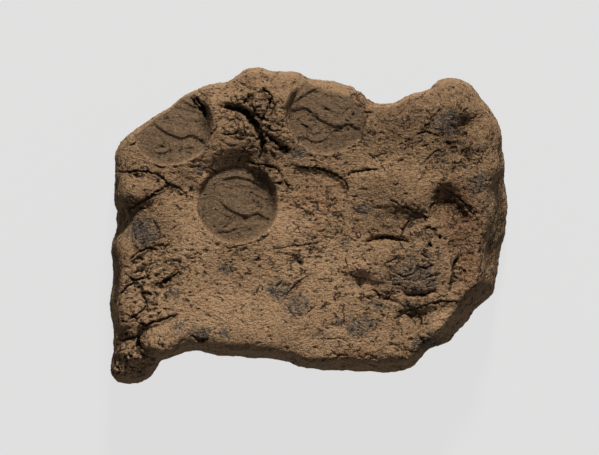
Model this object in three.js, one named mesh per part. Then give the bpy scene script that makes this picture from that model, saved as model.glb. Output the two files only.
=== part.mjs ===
// A clay bulla: a flat lump of clay, pressed by hand over a tie and stamped three times with one round
// stamp. It is one solid. Sizes are in millimetres, +X runs along the lump, +Y across it and +Z up.
// It lies on its flat underside, and the origin is under the middle of its box.

import * as THREE from 'three';

// Driving sizes of the lump
const FACE_HEIGHT = 19.0;
const BELT_HEIGHT = 5.5;
const STAMP_RADIUS = 5.95;
const KNOB_HEIGHT = 13.8;

// How far the face rises from its middle to its north and south edges, and how far off those lie
const DISH = { north: 1.5, south: 0.9, reach: 23 };

// Spacing of the faces
const COLUMNS = 170;
const WALL_ROWS = 7;
const FACE_STEP = 1.06;
const FEATURE_STEP = 0.86;
const UNDERSIDE_STEP = 3.4;

// Widest outline of the lump seen from above, from the west side over the north and round
const OUTLINE = [
  [-31.0, 5.8], [-31.0, 8.6], [-30.6, 12.3], [-29.9, 13.6], [-28.3, 14.9], [-24.3, 17.9], [-22.4, 18.9],
  [-20.6, 20.5], [-18.7, 21.5], [-14.5, 23.0], [-12.8, 23.1], [-11.5, 24.1], [-10.0, 25.1], [-8.0, 25.3],
  [-5.9, 24.8], [-1.7, 24.6], [-0.1, 23.7], [4.4, 23.0], [7.9, 21.7], [8.8, 20.6], [10.0, 19.7],
  [12.4, 19.6], [14.0, 20.0], [15.9, 21.1], [19.1, 21.9], [20.2, 23.0], [22.1, 23.8], [24.2, 23.5],
  [26.0, 22.6], [27.4, 20.5], [30.3, 16.5], [30.9, 13.9], [30.9, 12.3], [31.4, 9.9], [31.4, 7.0],
  [31.8, 3.7], [31.8, 1.0], [31.5, -1.6], [30.8, -3.5], [30.4, -7.0], [29.6, -10.6], [28.5, -11.8],
  [27.2, -13.0], [25.8, -14.9], [23.9, -16.8], [22.4, -18.6], [21.0, -19.1], [19.4, -19.4], [18.0, -21.1],
  [16.7, -22.6], [14.6, -23.3], [10.8, -23.4], [6.0, -23.0], [1.8, -23.0], [-1.4, -22.7], [-3.5, -21.7],
  [-11.0, -21.0], [-15.2, -20.6], [-16.9, -20.1], [-19.6, -20.1], [-21.6, -21.0], [-23.5, -21.4],
  [-24.3, -22.4], [-24.8, -23.7], [-26.5, -24.9], [-28.9, -25.3], [-31.0, -24.6], [-31.8, -23.0],
  [-31.6, -21.3], [-31.2, -19.7], [-31.2, -16.6], [-31.7, -12.6], [-31.4, -8.3], [-31.2, -6.7],
  [-31.6, -4.0], [-31.2, -1.8], [-30.4, -0.5], [-30.7, 1.0], [-30.4, 2.2], [-31.0, 3.4],
];

// How the side walls stand round the lump: the lean of the wall from belt to rim in plan, the share of the
// height at which the rim starts to round, and how far the rounding runs in over the face
const WALLS = [
  { at: [-31, 9], lean: 0.7, rim: 0.82, round: 2.2 },
  { at: [-31.5, -8], lean: 1.3, rim: 0.9, round: 1.1 },
  { at: [-31, -23], lean: 0.8, rim: 0.72, round: 2.0 },
  { at: [-24, -21.5], lean: 0.6, rim: 0.86, round: 1.4 },
  { at: [-15, -20.6], lean: 1.2, rim: 0.88, round: 1.8 },
  { at: [0, -22.8], lean: 1.4, rim: 0.92, round: 1.2 },
  { at: [12, -23.4], lean: 1.9, rim: 0.93, round: 1.1 },
  { at: [19.6, -19.4], lean: 1.1, rim: 0.9, round: 1.2 },
  { at: [23.5, -17], lean: 2.4, rim: 0.93, round: 0.9 },
  { at: [27, -13], lean: 3.0, rim: 0.94, round: 0.9 },
  { at: [31, -3], lean: 3.5, rim: 0.94, round: 0.9 },
  { at: [31.5, 5], lean: 3.0, rim: 0.92, round: 1.2 },
  { at: [31.2, 10.5], lean: 1.2, rim: 0.84, round: 2.2 },
  { at: [30, 15], lean: 0.7, rim: 0.74, round: 3.2 },
  { at: [24, 23.5], lean: 0.7, rim: 0.62, round: 4.4 },
  { at: [12, 19.6], lean: 0.7, rim: 0.68, round: 3.2 },
  { at: [0, 23.8], lean: 0.7, rim: 0.72, round: 3.2 },
  { at: [-10, 25], lean: 0.7, rim: 0.64, round: 4.0 },
  { at: [-20, 20.6], lean: 0.7, rim: 0.76, round: 2.8 },
  { at: [-29, 14], lean: 0.8, rim: 0.74, round: 2.8 },
];

// Inset and height of the rows that round the lower edge under the belt
const FOOT_ROWS = [
  { height: 2.7, inset: 0.5 },
  { height: 0.8, inset: 1.4 },
  { height: 0, inset: 2.5 },
];

// The foot is drawn in less under the knob, which is small
const KNOB_FOOT = { at: [-28.4, -22.4], reach: 5.5, spared: 0.55 };

// Waves of the side walls: how deep they run and how long they are, up the wall and round the foot
const WALL_WAVES = [
  { depth: 0.55, length: 8.5 },
  { depth: 0.3, length: 3.6 },
];

// The clefts and finger hollows in the side walls
const WALL_DENTS = [
  { name: 'west cleft', at: [-31, 1.0, 16], wide: 1.7, tall: 5.5, depth: 1.5 },
  { name: 'west finger hollow', at: [-31.5, -10, 11], wide: 4.5, tall: 4.0, depth: 1.1 },
  { name: 'south fold', at: [-8, -21.4, 9], wide: 6.0, tall: 2.2, depth: 1.3 },
  { name: 'south-east press mark', at: [24, -17, 9], wide: 5.5, tall: 4.5, depth: 1.2 },
  { name: 'east press mark', at: [31.8, 1.5, 11], wide: 6.0, tall: 3.6, depth: 1.1 },
  { name: 'north-east fold', at: [17, 21.4, 8], wide: 5.0, tall: 1.8, depth: 1.3 },
  { name: 'north-west press mark', at: [-22, 19.3, 9], wide: 5.0, tall: 3.0, depth: 1.1 },
];

// Broad swells and hollows of the face. Each is an oval with its half lengths, the turn of its length from
// +X in degrees and its rise. A crisp one has a flat floor and steep sides.
const FORMS = [
  { name: 'ridge between the stamps', at: [-14.6, 13.2], reach: [6.0, 2.6], turn: 24, rise: 0.9 },
  { name: 'crown beside the fissure', at: [-5.8, 17.4], reach: [3.8, 4.2], turn: 0, rise: 1.0 },
  { name: 'shoulder east of the west stamp', at: [-14.8, 17.6], reach: [2.2, 3.2], turn: 20, rise: 1.1 },
  { name: 'worn ground west of the middle stamp', at: [-18.6, 4.6], reach: [2.6, 3.8], turn: 24, rise: -1.3 },
  { name: 'shoulder west of the north stamp', at: [-4.4, 21.7], reach: [2.6, 2.8], turn: 0, rise: 1.1 },
  { name: 'worn edge over the north stamp', at: [4.8, 23.0], reach: [5.4, 2.2], turn: -16, rise: -2.8 },
  { name: 'west flap', at: [-26.6, 6.0], reach: [4.6, 2.4], turn: 14, rise: 0.9, crisp: true },
  { name: 'west cleft', at: [-29.8, 1.1], reach: [2.2, 0.8], turn: 32, rise: -2.0, crisp: true },
  { name: 'smooth band under the middle stamp', at: [-4.0, -1.6], reach: [5.0, 3.2], turn: 10, rise: 0.6 },
  { name: 'east flap', at: [13.6, 5.6], reach: [6.9, 3.4], turn: -4, rise: 0.8, crisp: true },
  { name: 'east hollow', at: [24.0, 1.0], reach: [2.6, 4.6], turn: 18, rise: -0.9 },
  { name: 'channel under the east hollow', at: [24.6, -7.0], reach: [1.6, 4.8], turn: -10, rise: -0.8 },
  { name: 'rim beside the channel', at: [26.6, -5.4], reach: [1.0, 4.6], turn: -10, rise: 0.8 },
  { name: 'north-east dent', at: [25.4, 16.0], reach: [3.2, 1.3], turn: 22, rise: -1.7, crisp: true },
  { name: 'tail of the north-east dent', at: [23.2, 12.6], reach: [1.2, 2.4], turn: -20, rise: -0.8 },
  { name: 'ridge under the north-east dent', at: [26.2, 12.4], reach: [3.2, 1.0], turn: 30, rise: 0.8 },
  { name: 'thumb lobe', at: [15.4, -6.2], reach: [6.9, 3.9], turn: 0, rise: 0.9, crisp: true },
  { name: 'bump over the dent', at: [8.2, -6.9], reach: [1.5, 0.9], turn: 0, rise: 0.5 },
  { name: 'dent in the thumb lobe', at: [8.6, -9.0], reach: [1.6, 1.1], turn: 0, rise: -0.8 },
  { name: 'facet at the south-east rim', at: [20.6, -15.4], reach: [3.6, 1.6], turn: 24, rise: 0.8 },
  { name: 'hollow beside the facet', at: [16.4, -14.4], reach: [1.5, 0.9], turn: -20, rise: -1.0 },
  { name: 'hollow under the facet', at: [17.6, -16.2], reach: [0.9, 1.6], turn: 0, rise: -1.0 },
  { name: 'southern swell', at: [-8.6, -15.4], reach: [12.0, 4.4], turn: -2, rise: 0.7 },
  { name: 'crumbled folds', at: [-25.6, -9.4], reach: [3.6, 5.2], turn: 0, rise: -0.9 },
  { name: 'south-west lobe', at: [-22.6, -18.2], reach: [3.9, 2.9], turn: 34, rise: 1.1, crisp: true },
  { name: 'crumbled corner', at: [-29.0, -18.4], reach: [2.2, 2.4], turn: 0, rise: -2.4 },
  { name: 'hole beside the knob', at: [-25.3, -21.0], reach: [1.2, 0.9], turn: -30, rise: -5.0 },
];

// Scarps: where the clay steps down to the right of a path. The drop falls over a steep width, and the clay
// comes back to its level over a longer reach beyond.
const SCARPS = [
  {
    name: 'slope over the middle stamp', drop: 2.2, steep: 3.0, reach: 8,
    path: [[-18.2, 9.0], [-15.4, 11.4], [-11.8, 12.8], [-9.2, 12.7], [-6.8, 11.6]],
  },
  {
    name: 'lip of the west flap', drop: 0.7, steep: 0.4, reach: 4.2,
    path: [[-30.6, 1.2], [-28.1, 2.6], [-25.9, 4.0], [-24.1, 5.4], [-22.5, 6.6]],
  },
  {
    name: 'fold over the west flap', drop: 0.8, steep: 0.6, reach: 2.6,
    path: [[-30.6, 8.7], [-27.8, 8.8], [-25.2, 8.5], [-23.0, 7.5], [-20.8, 6.0], [-19.3, 4.3]],
  },
  {
    name: 'edge of the rough patch', drop: 1.0, steep: 0.5, reach: 5,
    path: [[-3.6, 9.9], [-0.6, 9.3], [2.6, 9.0], [5.0, 7.6], [6.2, 5.8], [5.7, 3.6]],
  },
  {
    name: 'south edge of the east flap', drop: 1.1, steep: 0.4, reach: 2.4,
    path: [[13.0, 4.0], [14.6, 2.9], [16.5, 2.2], [18.9, 1.2]],
  },
  {
    name: 'east edge of the east flap', drop: 1.7, steep: 0.6, reach: 6,
    path: [[18.9, 1.2], [19.5, 2.8], [19.9, 4.4], [20.4, 7.0]],
  },
  {
    name: 'north-east edge of the east hollow', drop: 1.5, steep: 1.2, reach: 5,
    path: [[20.4, 7.0], [22.6, 5.4], [24.4, 3.8], [26.0, 2.2], [27.0, 0.8]],
  },
  {
    name: 'end of the thumb lobe', drop: 1.0, steep: 0.6, reach: 2.2,
    path: [[22.2, -10.2], [22.8, -7.4], [22.4, -4.8], [21.4, -3.2]],
  },
  {
    name: 'dent in the thumb lobe', drop: 0.6, steep: 1.0, reach: 2.8,
    path: [[5.4, -7.6], [7.2, -8.0], [8.6, -8.2], [10.2, -7.6]],
  },
  {
    name: 'slope over the facet', drop: 1.1, steep: 1.0, reach: 3.0,
    path: [[14.6, -12.6], [16.6, -13.2], [18.6, -12.6], [21.3, -11.8], [24.2, -12.1]],
  },
  {
    name: 'fold of the crumbled side', drop: 0.8, steep: 0.5, reach: 2.4,
    path: [[-25.6, -9.6], [-23.0, -8.6], [-20.6, -7.3]],
  },
  {
    name: 'step across the west', drop: 0.8, steep: 0.6, reach: 2.2,
    path: [[-28.8, -5.8], [-26.6, -4.2], [-24.4, -2.8]],
  },
  {
    name: 'fold over the south-west lobe', drop: 1.2, steep: 0.5, reach: 2.8,
    path: [[-26.8, -15.9], [-25.2, -15.6], [-22.8, -14.7], [-20.8, -14.1]],
  },
  {
    name: 'edge of the flaked place', drop: 0.5, steep: 0.4, reach: 3.0,
    path: [[-4.4, -12.2], [-2.7, -9.9], [-0.4, -8.1], [0.9, -7.6]],
  },
];

// Deep fissures and folds that part the clay, each a notch along a path
const NOTCHES = [
  {
    name: 'main fissure', width: 0.7, depth: 2.4,
    path: [[-14, 19.1], [-11.4, 18.7], [-9.8, 17.6], [-8.6, 16], [-7.8, 14], [-7.3, 12], [-7.4, 10.4]],
  },
  {
    name: 'fissure branch', width: 0.4, depth: 0.9,
    path: [[-7.6, 22.4], [-6.2, 20.4], [-6.1, 18.7], [-7.4, 17.0]],
  },
  {
    name: 'hole under the crown', width: 0.6, depth: 1.4,
    path: [[-6.6, 14.2], [-4.6, 12.9], [-3.2, 11.9]],
  },
  {
    name: 'slot beside the west stamp', width: 0.4, depth: 1.2,
    path: [[-18.4, 20.6], [-17.2, 18.8], [-16.4, 17.0]],
  },
  {
    name: 'slot beside the north stamp', width: 0.5, depth: 1.2,
    path: [[-0.9, 24.0], [-2.4, 22.4], [-3.2, 20.6]],
  },
  {
    name: 'lip of the west flap', width: 0.5, depth: 0.8,
    path: [[-30.4, 1.0], [-28.0, 2.3], [-25.8, 3.7]],
  },
  {
    name: 'fold over the thumb lobe', width: 0.45, depth: 0.9,
    path: [[8.6, -2.9], [9.8, -2.2], [11.6, -1.7], [14.6, -2.1], [16.7, -2.6]],
  },
  {
    name: 'cleft under the east flap', width: 0.5, depth: 0.9,
    path: [[16.2, 2.0], [17.6, 1.5], [19.0, 0.9]],
  },
  {
    name: 'fold under the thumb lobe', width: 0.45, depth: 0.8,
    path: [[14.8, -10.6], [17.0, -11.0], [20.2, -10.3]],
  },
  {
    name: 'crack over the facet', width: 0.4, depth: 0.7,
    path: [[10.6, -10.6], [13.0, -11.8], [15.0, -12.4]],
  },
  {
    name: 'lobe of the crumbled side', width: 0.45, depth: 0.9,
    path: [[-28.6, -11.8], [-28.2, -14.2], [-26.9, -14.8], [-25.2, -12.8]],
  },
  {
    name: 'west side of the lobe', width: 0.6, depth: 2.2,
    path: [[-26.6, -15.9], [-26.9, -18.4], [-26.4, -20.4]],
  },
];

// The three impressions of one stamp: middle, height of the floor there, and how far and which way it dips
const STAMPS = [
  { name: 'west', at: [-21.9, 15.9], floor: 17.3, dip: 10, heading: 118 },
  { name: 'north', at: [2.9, 17.7], floor: 17.9, dip: 5, heading: 180 },
  { name: 'middle', at: [-11.5, 3.5], floor: 17.0, dip: 4, heading: 30 },
];

// The wall of an impression: its width in plan at a shallow place, and how much wider it is for each
// millimetre of depth
const STAMP_WALL = { width: 0.3, flare: 0.22 };
const STAMP_LIP = { rise: 0.22, reach: 1.1 };

// The worn figure of the stamp: raised strokes on its floor
const FIGURE = [
  {
    name: 'body',
    path: [[-3.4, 0.6], [-0.6, -0.7], [1.6, -1.6], [3.1, -1.0], [4.8, -1.7]], width: 0.6, rise: 0.36,
  },
  { name: 'arc', path: [[-4.2, 2.9], [-2.5, 4.2], [0.3, 4.7], [3.0, 3.5]], width: 0.55, rise: 0.3 },
  { name: 'foot', path: [[-3.6, -3.2], [-1.6, -4.2], [0.0, -3.8]], width: 0.5, rise: 0.22 },
];

// The knob is the stump of a lower lobe, south of this line
const KNOB_LINE = { from: [-32.1, -19.9], to: [-23.5, -22.9], blend: 0.7 };

// Shallow hollows of the underside, clear of its middle
const UNDERSIDE_HOLLOWS = [
  { at: [-19.0, 7.0], reach: [5.0, 3.0], turn: 25, rise: 0.7 },
  { at: [18.0, -8.5], reach: [5.5, 3.2], turn: -30, rise: 0.8 },
  { at: [16.5, 11.0], reach: [4.0, 2.6], turn: 10, rise: 0.5 },
  { at: [-17.0, -11.0], reach: [4.2, 2.8], turn: -12, rise: 0.6 },
];

const radians = THREE.MathUtils.degToRad;
const smoothstep = THREE.MathUtils.smoothstep;

// Slow, repeatable unevenness between about -1 and 1 for the given wave length
function unevenness(x, y, wave) {
  const k = (2 * Math.PI) / wave;
  const first = Math.sin(k * (x + 0.31 * y) + 1.3) * Math.sin(k * (y - 0.22 * x) * 0.83 + 0.4);
  const second = Math.sin(k * 1.71 * (0.8 * x - 0.6 * y) + 2.1) * Math.cos(k * 1.53 * (0.7 * y + 0.5 * x));
  return 0.62 * first + 0.38 * second;
}

// Distance from a point to the piece between two others, how far along it the nearest place is, and whether
// the point lies to the right of it
function distanceToPiece(x, y, from, to) {
  const dx = to[0] - from[0];
  const dy = to[1] - from[1];
  const reached = ((x - from[0]) * dx + (y - from[1]) * dy) / (dx * dx + dy * dy);
  const along = THREE.MathUtils.clamp(reached, 0, 1);
  const isRight = dx * (y - from[1]) - dy * (x - from[0]) < 0;
  return { distance: Math.hypot(x - from[0] - along * dx, y - from[1] - along * dy), along, isRight };
}

function distanceToPath(x, y, path) {
  let best = { distance: Infinity, share: 0, isRight: false };
  for (let i = 0; i + 1 < path.length; i += 1) {
    const { distance, along, isRight } = distanceToPiece(x, y, path[i], path[i + 1]);
    if (distance < best.distance) best = { distance, share: (i + along) / (path.length - 1), isRight };
  }
  return best;
}

function distanceToRing(x, y, ring) {
  let least = Infinity;
  for (let i = 0; i < ring.length; i += 1) {
    least = Math.min(least, distanceToPiece(x, y, ring[i], ring[(i + 1) % ring.length]).distance);
  }
  return least;
}

function isInside(x, y, ring) {
  let inside = false;
  for (let i = 0, j = ring.length - 1; i < ring.length; j = i, i += 1) {
    const [xi, yi] = ring[i];
    const [xj, yj] = ring[j];
    if (yi > y !== yj > y && x < ((xj - xi) * (y - yi)) / (yj - yi) + xi) inside = !inside;
  }
  return inside;
}

// Height that an oval swell adds at a place
function swell(form, x, y) {
  const turn = radians(form.turn);
  const dx = x - form.at[0];
  const dy = y - form.at[1];
  const u = (dx * Math.cos(turn) + dy * Math.sin(turn)) / form.reach[0];
  const v = (dy * Math.cos(turn) - dx * Math.sin(turn)) / form.reach[1];
  const square = u * u + v * v;
  return form.rise * Math.exp(form.crisp ? -(square ** 2.4) : -square);
}

// Depth of a notch at a place: full along the path, nothing at its banks and running out at its ends
function notch(cut, x, y) {
  const { distance, share } = distanceToPath(x, y, cut.path);
  const ends = Math.min(1, 5 * share + 0.25, 5 * (1 - share) + 0.25);
  return cut.depth * ends * Math.max(0, 1 - distance / cut.width);
}

// Depth of a scarp at a place: nothing to the left of its path, a steep fall and a slow rise to its right
function scarp(step, x, y) {
  const { distance, share, isRight } = distanceToPath(x, y, step.path);
  if (!isRight || distance > step.steep + step.reach) return 0;
  const ends = smoothstep(Math.min(share, 1 - share), -0.02, 0.16);
  const fall = smoothstep(distance, 0, step.steep);
  return step.drop * ends * fall * (1 - smoothstep(distance, step.steep, step.steep + step.reach));
}

// Values of the side walls near a place, mixed from the nearest stations
function wallAt(x, y) {
  const mix = { lean: 0, rim: 0, round: 0 };
  let total = 0;
  for (const station of WALLS) {
    const weight = 1 / (Math.hypot(x - station.at[0], y - station.at[1]) ** 3 + 1);
    total += weight;
    for (const key of Object.keys(mix)) mix[key] += weight * station[key];
  }
  for (const key of Object.keys(mix)) mix[key] /= total;
  return mix;
}

// Height of the face before the stamps, as if the lump had no edges
function faceHeight(x, y) {
  const dish = (y > 0 ? DISH.north : DISH.south) * (y / DISH.reach) ** 2;
  let height = FACE_HEIGHT + dish + 0.25 * unevenness(x, y, 17) + 0.16 * unevenness(x + 3, y, 5.2);
  for (const form of FORMS) height += swell(form, x, y);
  for (const step of SCARPS) height -= scarp(step, x, y);
  for (const cut of NOTCHES) height -= notch(cut, x, y);
  const { from, to, blend } = KNOB_LINE;
  const across = new THREE.Vector2(to[0] - from[0], to[1] - from[1]).normalize();
  const south = (x - from[0]) * across.y - (y - from[1]) * across.x;
  const onKnob = smoothstep(south, -blend, blend);
  return THREE.MathUtils.lerp(height, KNOB_HEIGHT + 0.7 * unevenness(x, y, 4), onKnob);
}

function stampFloor(stamp, x, y) {
  const dx = x - stamp.at[0];
  const dy = y - stamp.at[1];
  const heading = radians(stamp.heading);
  const downhill = dx * Math.cos(heading) + dy * Math.sin(heading);
  let height = stamp.floor - downhill * Math.tan(radians(stamp.dip));
  for (const stroke of FIGURE) {
    const { distance } = distanceToPath(dx, dy, stroke.path);
    height += stroke.rise * Math.exp(-((distance / stroke.width) ** 2));
  }
  return height;
}

// Presses the stamps into a height: floor inside the disc, a steep wall and a slight lip round it
function pressStamps(x, y, before) {
  let height = before;
  for (const stamp of STAMPS) {
    const away = Math.hypot(x - stamp.at[0], y - stamp.at[1]);
    if (away > STAMP_RADIUS + 4 * STAMP_LIP.reach) continue;
    const depth = Math.max(0, before - stampFloor(stamp, x, y));
    const wall = STAMP_WALL.width + STAMP_WALL.flare * depth;
    const pressed = 1 - smoothstep(away, STAMP_RADIUS - 0.02, STAMP_RADIUS + wall);
    const onLip = Math.exp(-(((away - STAMP_RADIUS - wall) / STAMP_LIP.reach) ** 2));
    const lip = away > STAMP_RADIUS ? STAMP_LIP.rise * Math.min(1, depth) * onLip : 0;
    height += lip - depth * pressed;
  }
  return height;
}

// Height of the finished face over a place inside the rim
function topHeight(x, y, rimRing) {
  const { rim, round } = wallAt(x, y);
  const away = Math.min(1, distanceToRing(x, y, rimRing) / round);
  const share = rim + (1 - rim) * (1 - (1 - away) ** 2);
  return pressStamps(x, y, BELT_HEIGHT + (faceHeight(x, y) - BELT_HEIGHT) * share);
}

// Widest ring of the lump with the outward direction at each column
function makeBelt() {
  const knots = OUTLINE.map(([x, y]) => new THREE.Vector3(x, y, 0));
  const curve = new THREE.CatmullRomCurve3(knots, true, 'centripetal');
  const points = curve.getSpacedPoints(COLUMNS).slice(0, COLUMNS).reverse();
  return points.map((point, i) => {
    const before = points[(i + COLUMNS - 2) % COLUMNS];
    const after = points[(i + 2) % COLUMNS];
    const along = new THREE.Vector2(after.x - before.x, after.y - before.y).normalize();
    return { x: point.x, y: point.y, out: [along.y, -along.x] };
  });
}

// How far a side wall stands out or in at a place, by its waves
function wallWave(x, y, height) {
  return WALL_WAVES.reduce((sum, { depth, length }) => {
    return sum + depth * unevenness(x + 0.7 * height, y - 1.1 * height, length);
  }, 0);
}

// Points of a ring that lies a given way in from the belt
function insetRing(belt, insetAt) {
  return belt.map((column, i) => {
    const inset = insetAt(column, i);
    return [column.x - column.out[0] * inset, column.y - column.out[1] * inset];
  });
}

function wallDent(x, y, height) {
  let depth = 0;
  for (const dent of WALL_DENTS) {
    const aside = Math.hypot(x - dent.at[0], y - dent.at[1]) / dent.wide;
    const above = (height - dent.at[2]) / dent.tall;
    depth += dent.depth * Math.exp(-(aside * aside) - above * above);
  }
  return depth;
}

// Places on the face whose outlines the faces must follow: stamps, figures and notches
function featurePlaces() {
  const places = [];
  const addRing = (at, radius, count, shift) => {
    for (let i = 0; i < count; i += 1) {
      const angle = (2 * Math.PI * (i + shift)) / count;
      places.push([at[0] + radius * Math.cos(angle), at[1] + radius * Math.sin(angle)]);
    }
  };
  const addPath = (path, offsets) => {
    for (let i = 0; i + 1 < path.length; i += 1) {
      const [x0, y0] = path[i];
      const dx = path[i + 1][0] - x0;
      const dy = path[i + 1][1] - y0;
      const length = Math.hypot(dx, dy);
      const steps = Math.max(1, Math.round(length / FEATURE_STEP));
      for (let step = 0; step < steps; step += 1) {
        const along = step / steps;
        for (const offset of offsets) {
          places.push([x0 + dx * along - (dy / length) * offset, y0 + dy * along + (dx / length) * offset]);
        }
      }
    }
  };
  for (const stamp of STAMPS) {
    addRing(stamp.at, STAMP_RADIUS, 44, 0);
    addRing(stamp.at, STAMP_RADIUS + STAMP_WALL.width + 0.15, 44, 0.5);
    addRing(stamp.at, STAMP_RADIUS + STAMP_WALL.width + 0.85, 44, 0);
    for (const stroke of FIGURE) {
      const moved = stroke.path.map(([x, y]) => [x + stamp.at[0], y + stamp.at[1]]);
      addPath(moved, [0, -1.2 * stroke.width, 1.2 * stroke.width]);
    }
  }
  for (const step of SCARPS) addPath(step.path, [0, -Math.min(step.steep, 1.1)]);
  for (const cut of NOTCHES) addPath(cut.path, [0, -cut.width, cut.width]);
  return places;
}

// Even places over a region, on a staggered grid with a slight, repeatable shift
function gridPlaces(step) {
  const places = [];
  const rowStep = step * Math.sqrt(0.75);
  for (let row = -60; row <= 60; row += 1) {
    for (let column = -60; column <= 60; column += 1) {
      const x = (column + (row % 2 === 0 ? 0 : 0.5)) * step;
      const y = row * rowStep;
      places.push([x + 0.16 * step * unevenness(x, y, 3.3), y + 0.16 * step * unevenness(y, x, 2.9)]);
    }
  }
  return places;
}

// Keeps the places inside a ring that stay clear of it and of each other
function choosePlaces(ring, candidates) {
  const chosen = ring.map((place) => [...place]);
  for (const { places, gap, clear } of candidates) {
    for (const place of places) {
      if (!isInside(place[0], place[1], ring)) continue;
      if (distanceToRing(place[0], place[1], ring) < clear) continue;
      if (chosen.some((other) => Math.hypot(other[0] - place[0], other[1] - place[1]) < gap)) continue;
      chosen.push(place);
    }
  }
  return chosen;
}

// Whether a point lies in the circle through the three corners of a triangle that turns left
function inCircle(a, b, c, p) {
  const [ax, ay] = [a[0] - p[0], a[1] - p[1]];
  const [bx, by] = [b[0] - p[0], b[1] - p[1]];
  const [cx, cy] = [c[0] - p[0], c[1] - p[1]];
  const first = (ax * ax + ay * ay) * (bx * cy - cx * by);
  const second = (bx * bx + by * by) * (ax * cy - cx * ay);
  const third = (cx * cx + cy * cy) * (ax * by - bx * ay);
  return first - second + third > 0;
}

// Joins places into even triangles (Delaunay) and keeps those inside the ring. A nudge of a micron or two
// keeps places that lie on one circle from tying.
function joinPlaces(places, ring) {
  const far = 500;
  const nudge = 0.002;
  const nudged = places.map(([x, y], i) => [x + nudge * Math.sin(12.9 * i), y + nudge * Math.cos(7.7 * i)]);
  const all = [...nudged, [-far, -far], [far, -far], [0, far]];
  const n = places.length;
  let triangles = [[n, n + 1, n + 2]];
  for (let index = 0; index < n; index += 1) {
    const edges = new Map();
    const kept = [];
    for (const triangle of triangles) {
      const [a, b, c] = triangle;
      if (!inCircle(all[a], all[b], all[c], all[index])) {
        kept.push(triangle);
        continue;
      }
      for (const [from, to] of [[a, b], [b, c], [c, a]]) {
        const reverse = `${to},${from}`;
        if (edges.has(reverse)) edges.delete(reverse);
        else edges.set(`${from},${to}`, [from, to]);
      }
    }
    triangles = kept;
    for (const [from, to] of edges.values()) triangles.push([from, to, index]);
  }
  return triangles.filter(([a, b, c]) => {
    if (Math.max(a, b, c) >= n) return false;
    const x = (all[a][0] + all[b][0] + all[c][0]) / 3;
    const y = (all[a][1] + all[b][1] + all[c][1]) / 3;
    return isInside(x, y, ring);
  });
}

// The whole lump as one closed mesh: underside, walls row by row and face
function makeLump() {
  const belt = makeBelt();
  const lean = belt.map(({ x, y }) => wallAt(x, y).lean);
  const vertices = [];
  const triangles = [];
  const addRow = (points, heights) => {
    const start = vertices.length;
    points.forEach(([x, y], i) => vertices.push([x, y, heights[i]]));
    return start;
  };
  const addBand = (lower, upper) => {
    for (let i = 0; i < COLUMNS; i += 1) {
      const next = (i + 1) % COLUMNS;
      triangles.push([lower + i, lower + next, upper + i], [lower + next, upper + next, upper + i]);
    }
  };
  const addCap = (places, joined, ringStart, heightAt, isUp) => {
    const start = vertices.length;
    places.slice(COLUMNS).forEach(([x, y]) => vertices.push([x, y, heightAt(x, y)]));
    const vertexOf = (place) => (place < COLUMNS ? ringStart + place : start + place - COLUMNS);
    for (const [a, b, c] of joined) {
      const corners = isUp ? [a, b, c] : [a, c, b];
      triangles.push(corners.map(vertexOf));
    }
  };

  const footInset = (row) => ({ x, y }) => {
    const fromKnob = Math.hypot(x - KNOB_FOOT.at[0], y - KNOB_FOOT.at[1]) / KNOB_FOOT.reach;
    return row.inset * (1 + 0.3 * unevenness(x, y, 11)) * (1 - KNOB_FOOT.spared * Math.exp(-(fromKnob ** 2)));
  };
  const footRing = insetRing(belt, footInset(FOOT_ROWS[2]));
  const rimInset = ({ x, y }, i) => lean[i] + wallDent(x, y, FACE_HEIGHT * 0.85);
  const rimRing = insetRing(belt, rimInset);
  const rimHeights = rimRing.map(([x, y]) => topHeight(x, y, rimRing));

  const foot = addRow(footRing, footRing.map(() => FOOT_ROWS[2].height));
  const low = addRow(insetRing(belt, footInset(FOOT_ROWS[1])), belt.map(() => FOOT_ROWS[1].height));
  const under = addRow(insetRing(belt, footInset(FOOT_ROWS[0])), belt.map(() => FOOT_ROWS[0].height));
  const rows = [foot, low, under, addRow(insetRing(belt, () => 0), belt.map(() => BELT_HEIGHT))];
  for (let row = 1; row < WALL_ROWS; row += 1) {
    const share = row / WALL_ROWS;
    const heights = rimHeights.map((rimHeight) => BELT_HEIGHT + (rimHeight - BELT_HEIGHT) * share);
    const ring = insetRing(belt, ({ x, y }, i) => {
      const wave = Math.sin(Math.PI * share) * wallWave(x, y, heights[i]);
      return Math.max(0.05, lean[i] * share ** 1.2 + wave + wallDent(x, y, heights[i]) * share ** 0.5);
    });
    rows.push(addRow(ring, heights));
  }
  rows.push(addRow(rimRing, rimHeights));
  rows.slice(1).forEach((row, i) => addBand(rows[i], row));

  const softRim = insetRing(belt, (column, i) => rimInset(column, i) + 0.6);
  const topPlaces = choosePlaces(rimRing, [
    { places: featurePlaces(), gap: 0.36, clear: 0.4 },
    { places: softRim, gap: 0.5, clear: 0.4 },
    { places: gridPlaces(FACE_STEP), gap: 0.66, clear: 0.55 },
  ]);
  addCap(topPlaces, joinPlaces(topPlaces, rimRing), rows.at(-1), (x, y) => topHeight(x, y, rimRing), true);

  const undersideGrid = { places: gridPlaces(UNDERSIDE_STEP), gap: 1.2, clear: 1.6 };
  const undersidePlaces = choosePlaces(footRing, [undersideGrid]);
  const undersideHeight = (x, y) => UNDERSIDE_HOLLOWS.reduce((sum, form) => {
    const depth = swell(form, x, y);
    return sum + (depth > 0.04 ? depth : 0);
  }, 0);
  addCap(undersidePlaces, joinPlaces(undersidePlaces, footRing), foot, undersideHeight, false);

  const geometry = new THREE.BufferGeometry();
  geometry.setAttribute('position', new THREE.Float32BufferAttribute(vertices.flat(), 3));
  geometry.setIndex(triangles.flat());
  geometry.computeBoundingBox();
  const middle = geometry.boundingBox.getCenter(new THREE.Vector3());
  geometry.translate(-middle.x, -middle.y, 0);
  geometry.computeVertexNormals();
  return geometry;
}

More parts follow.
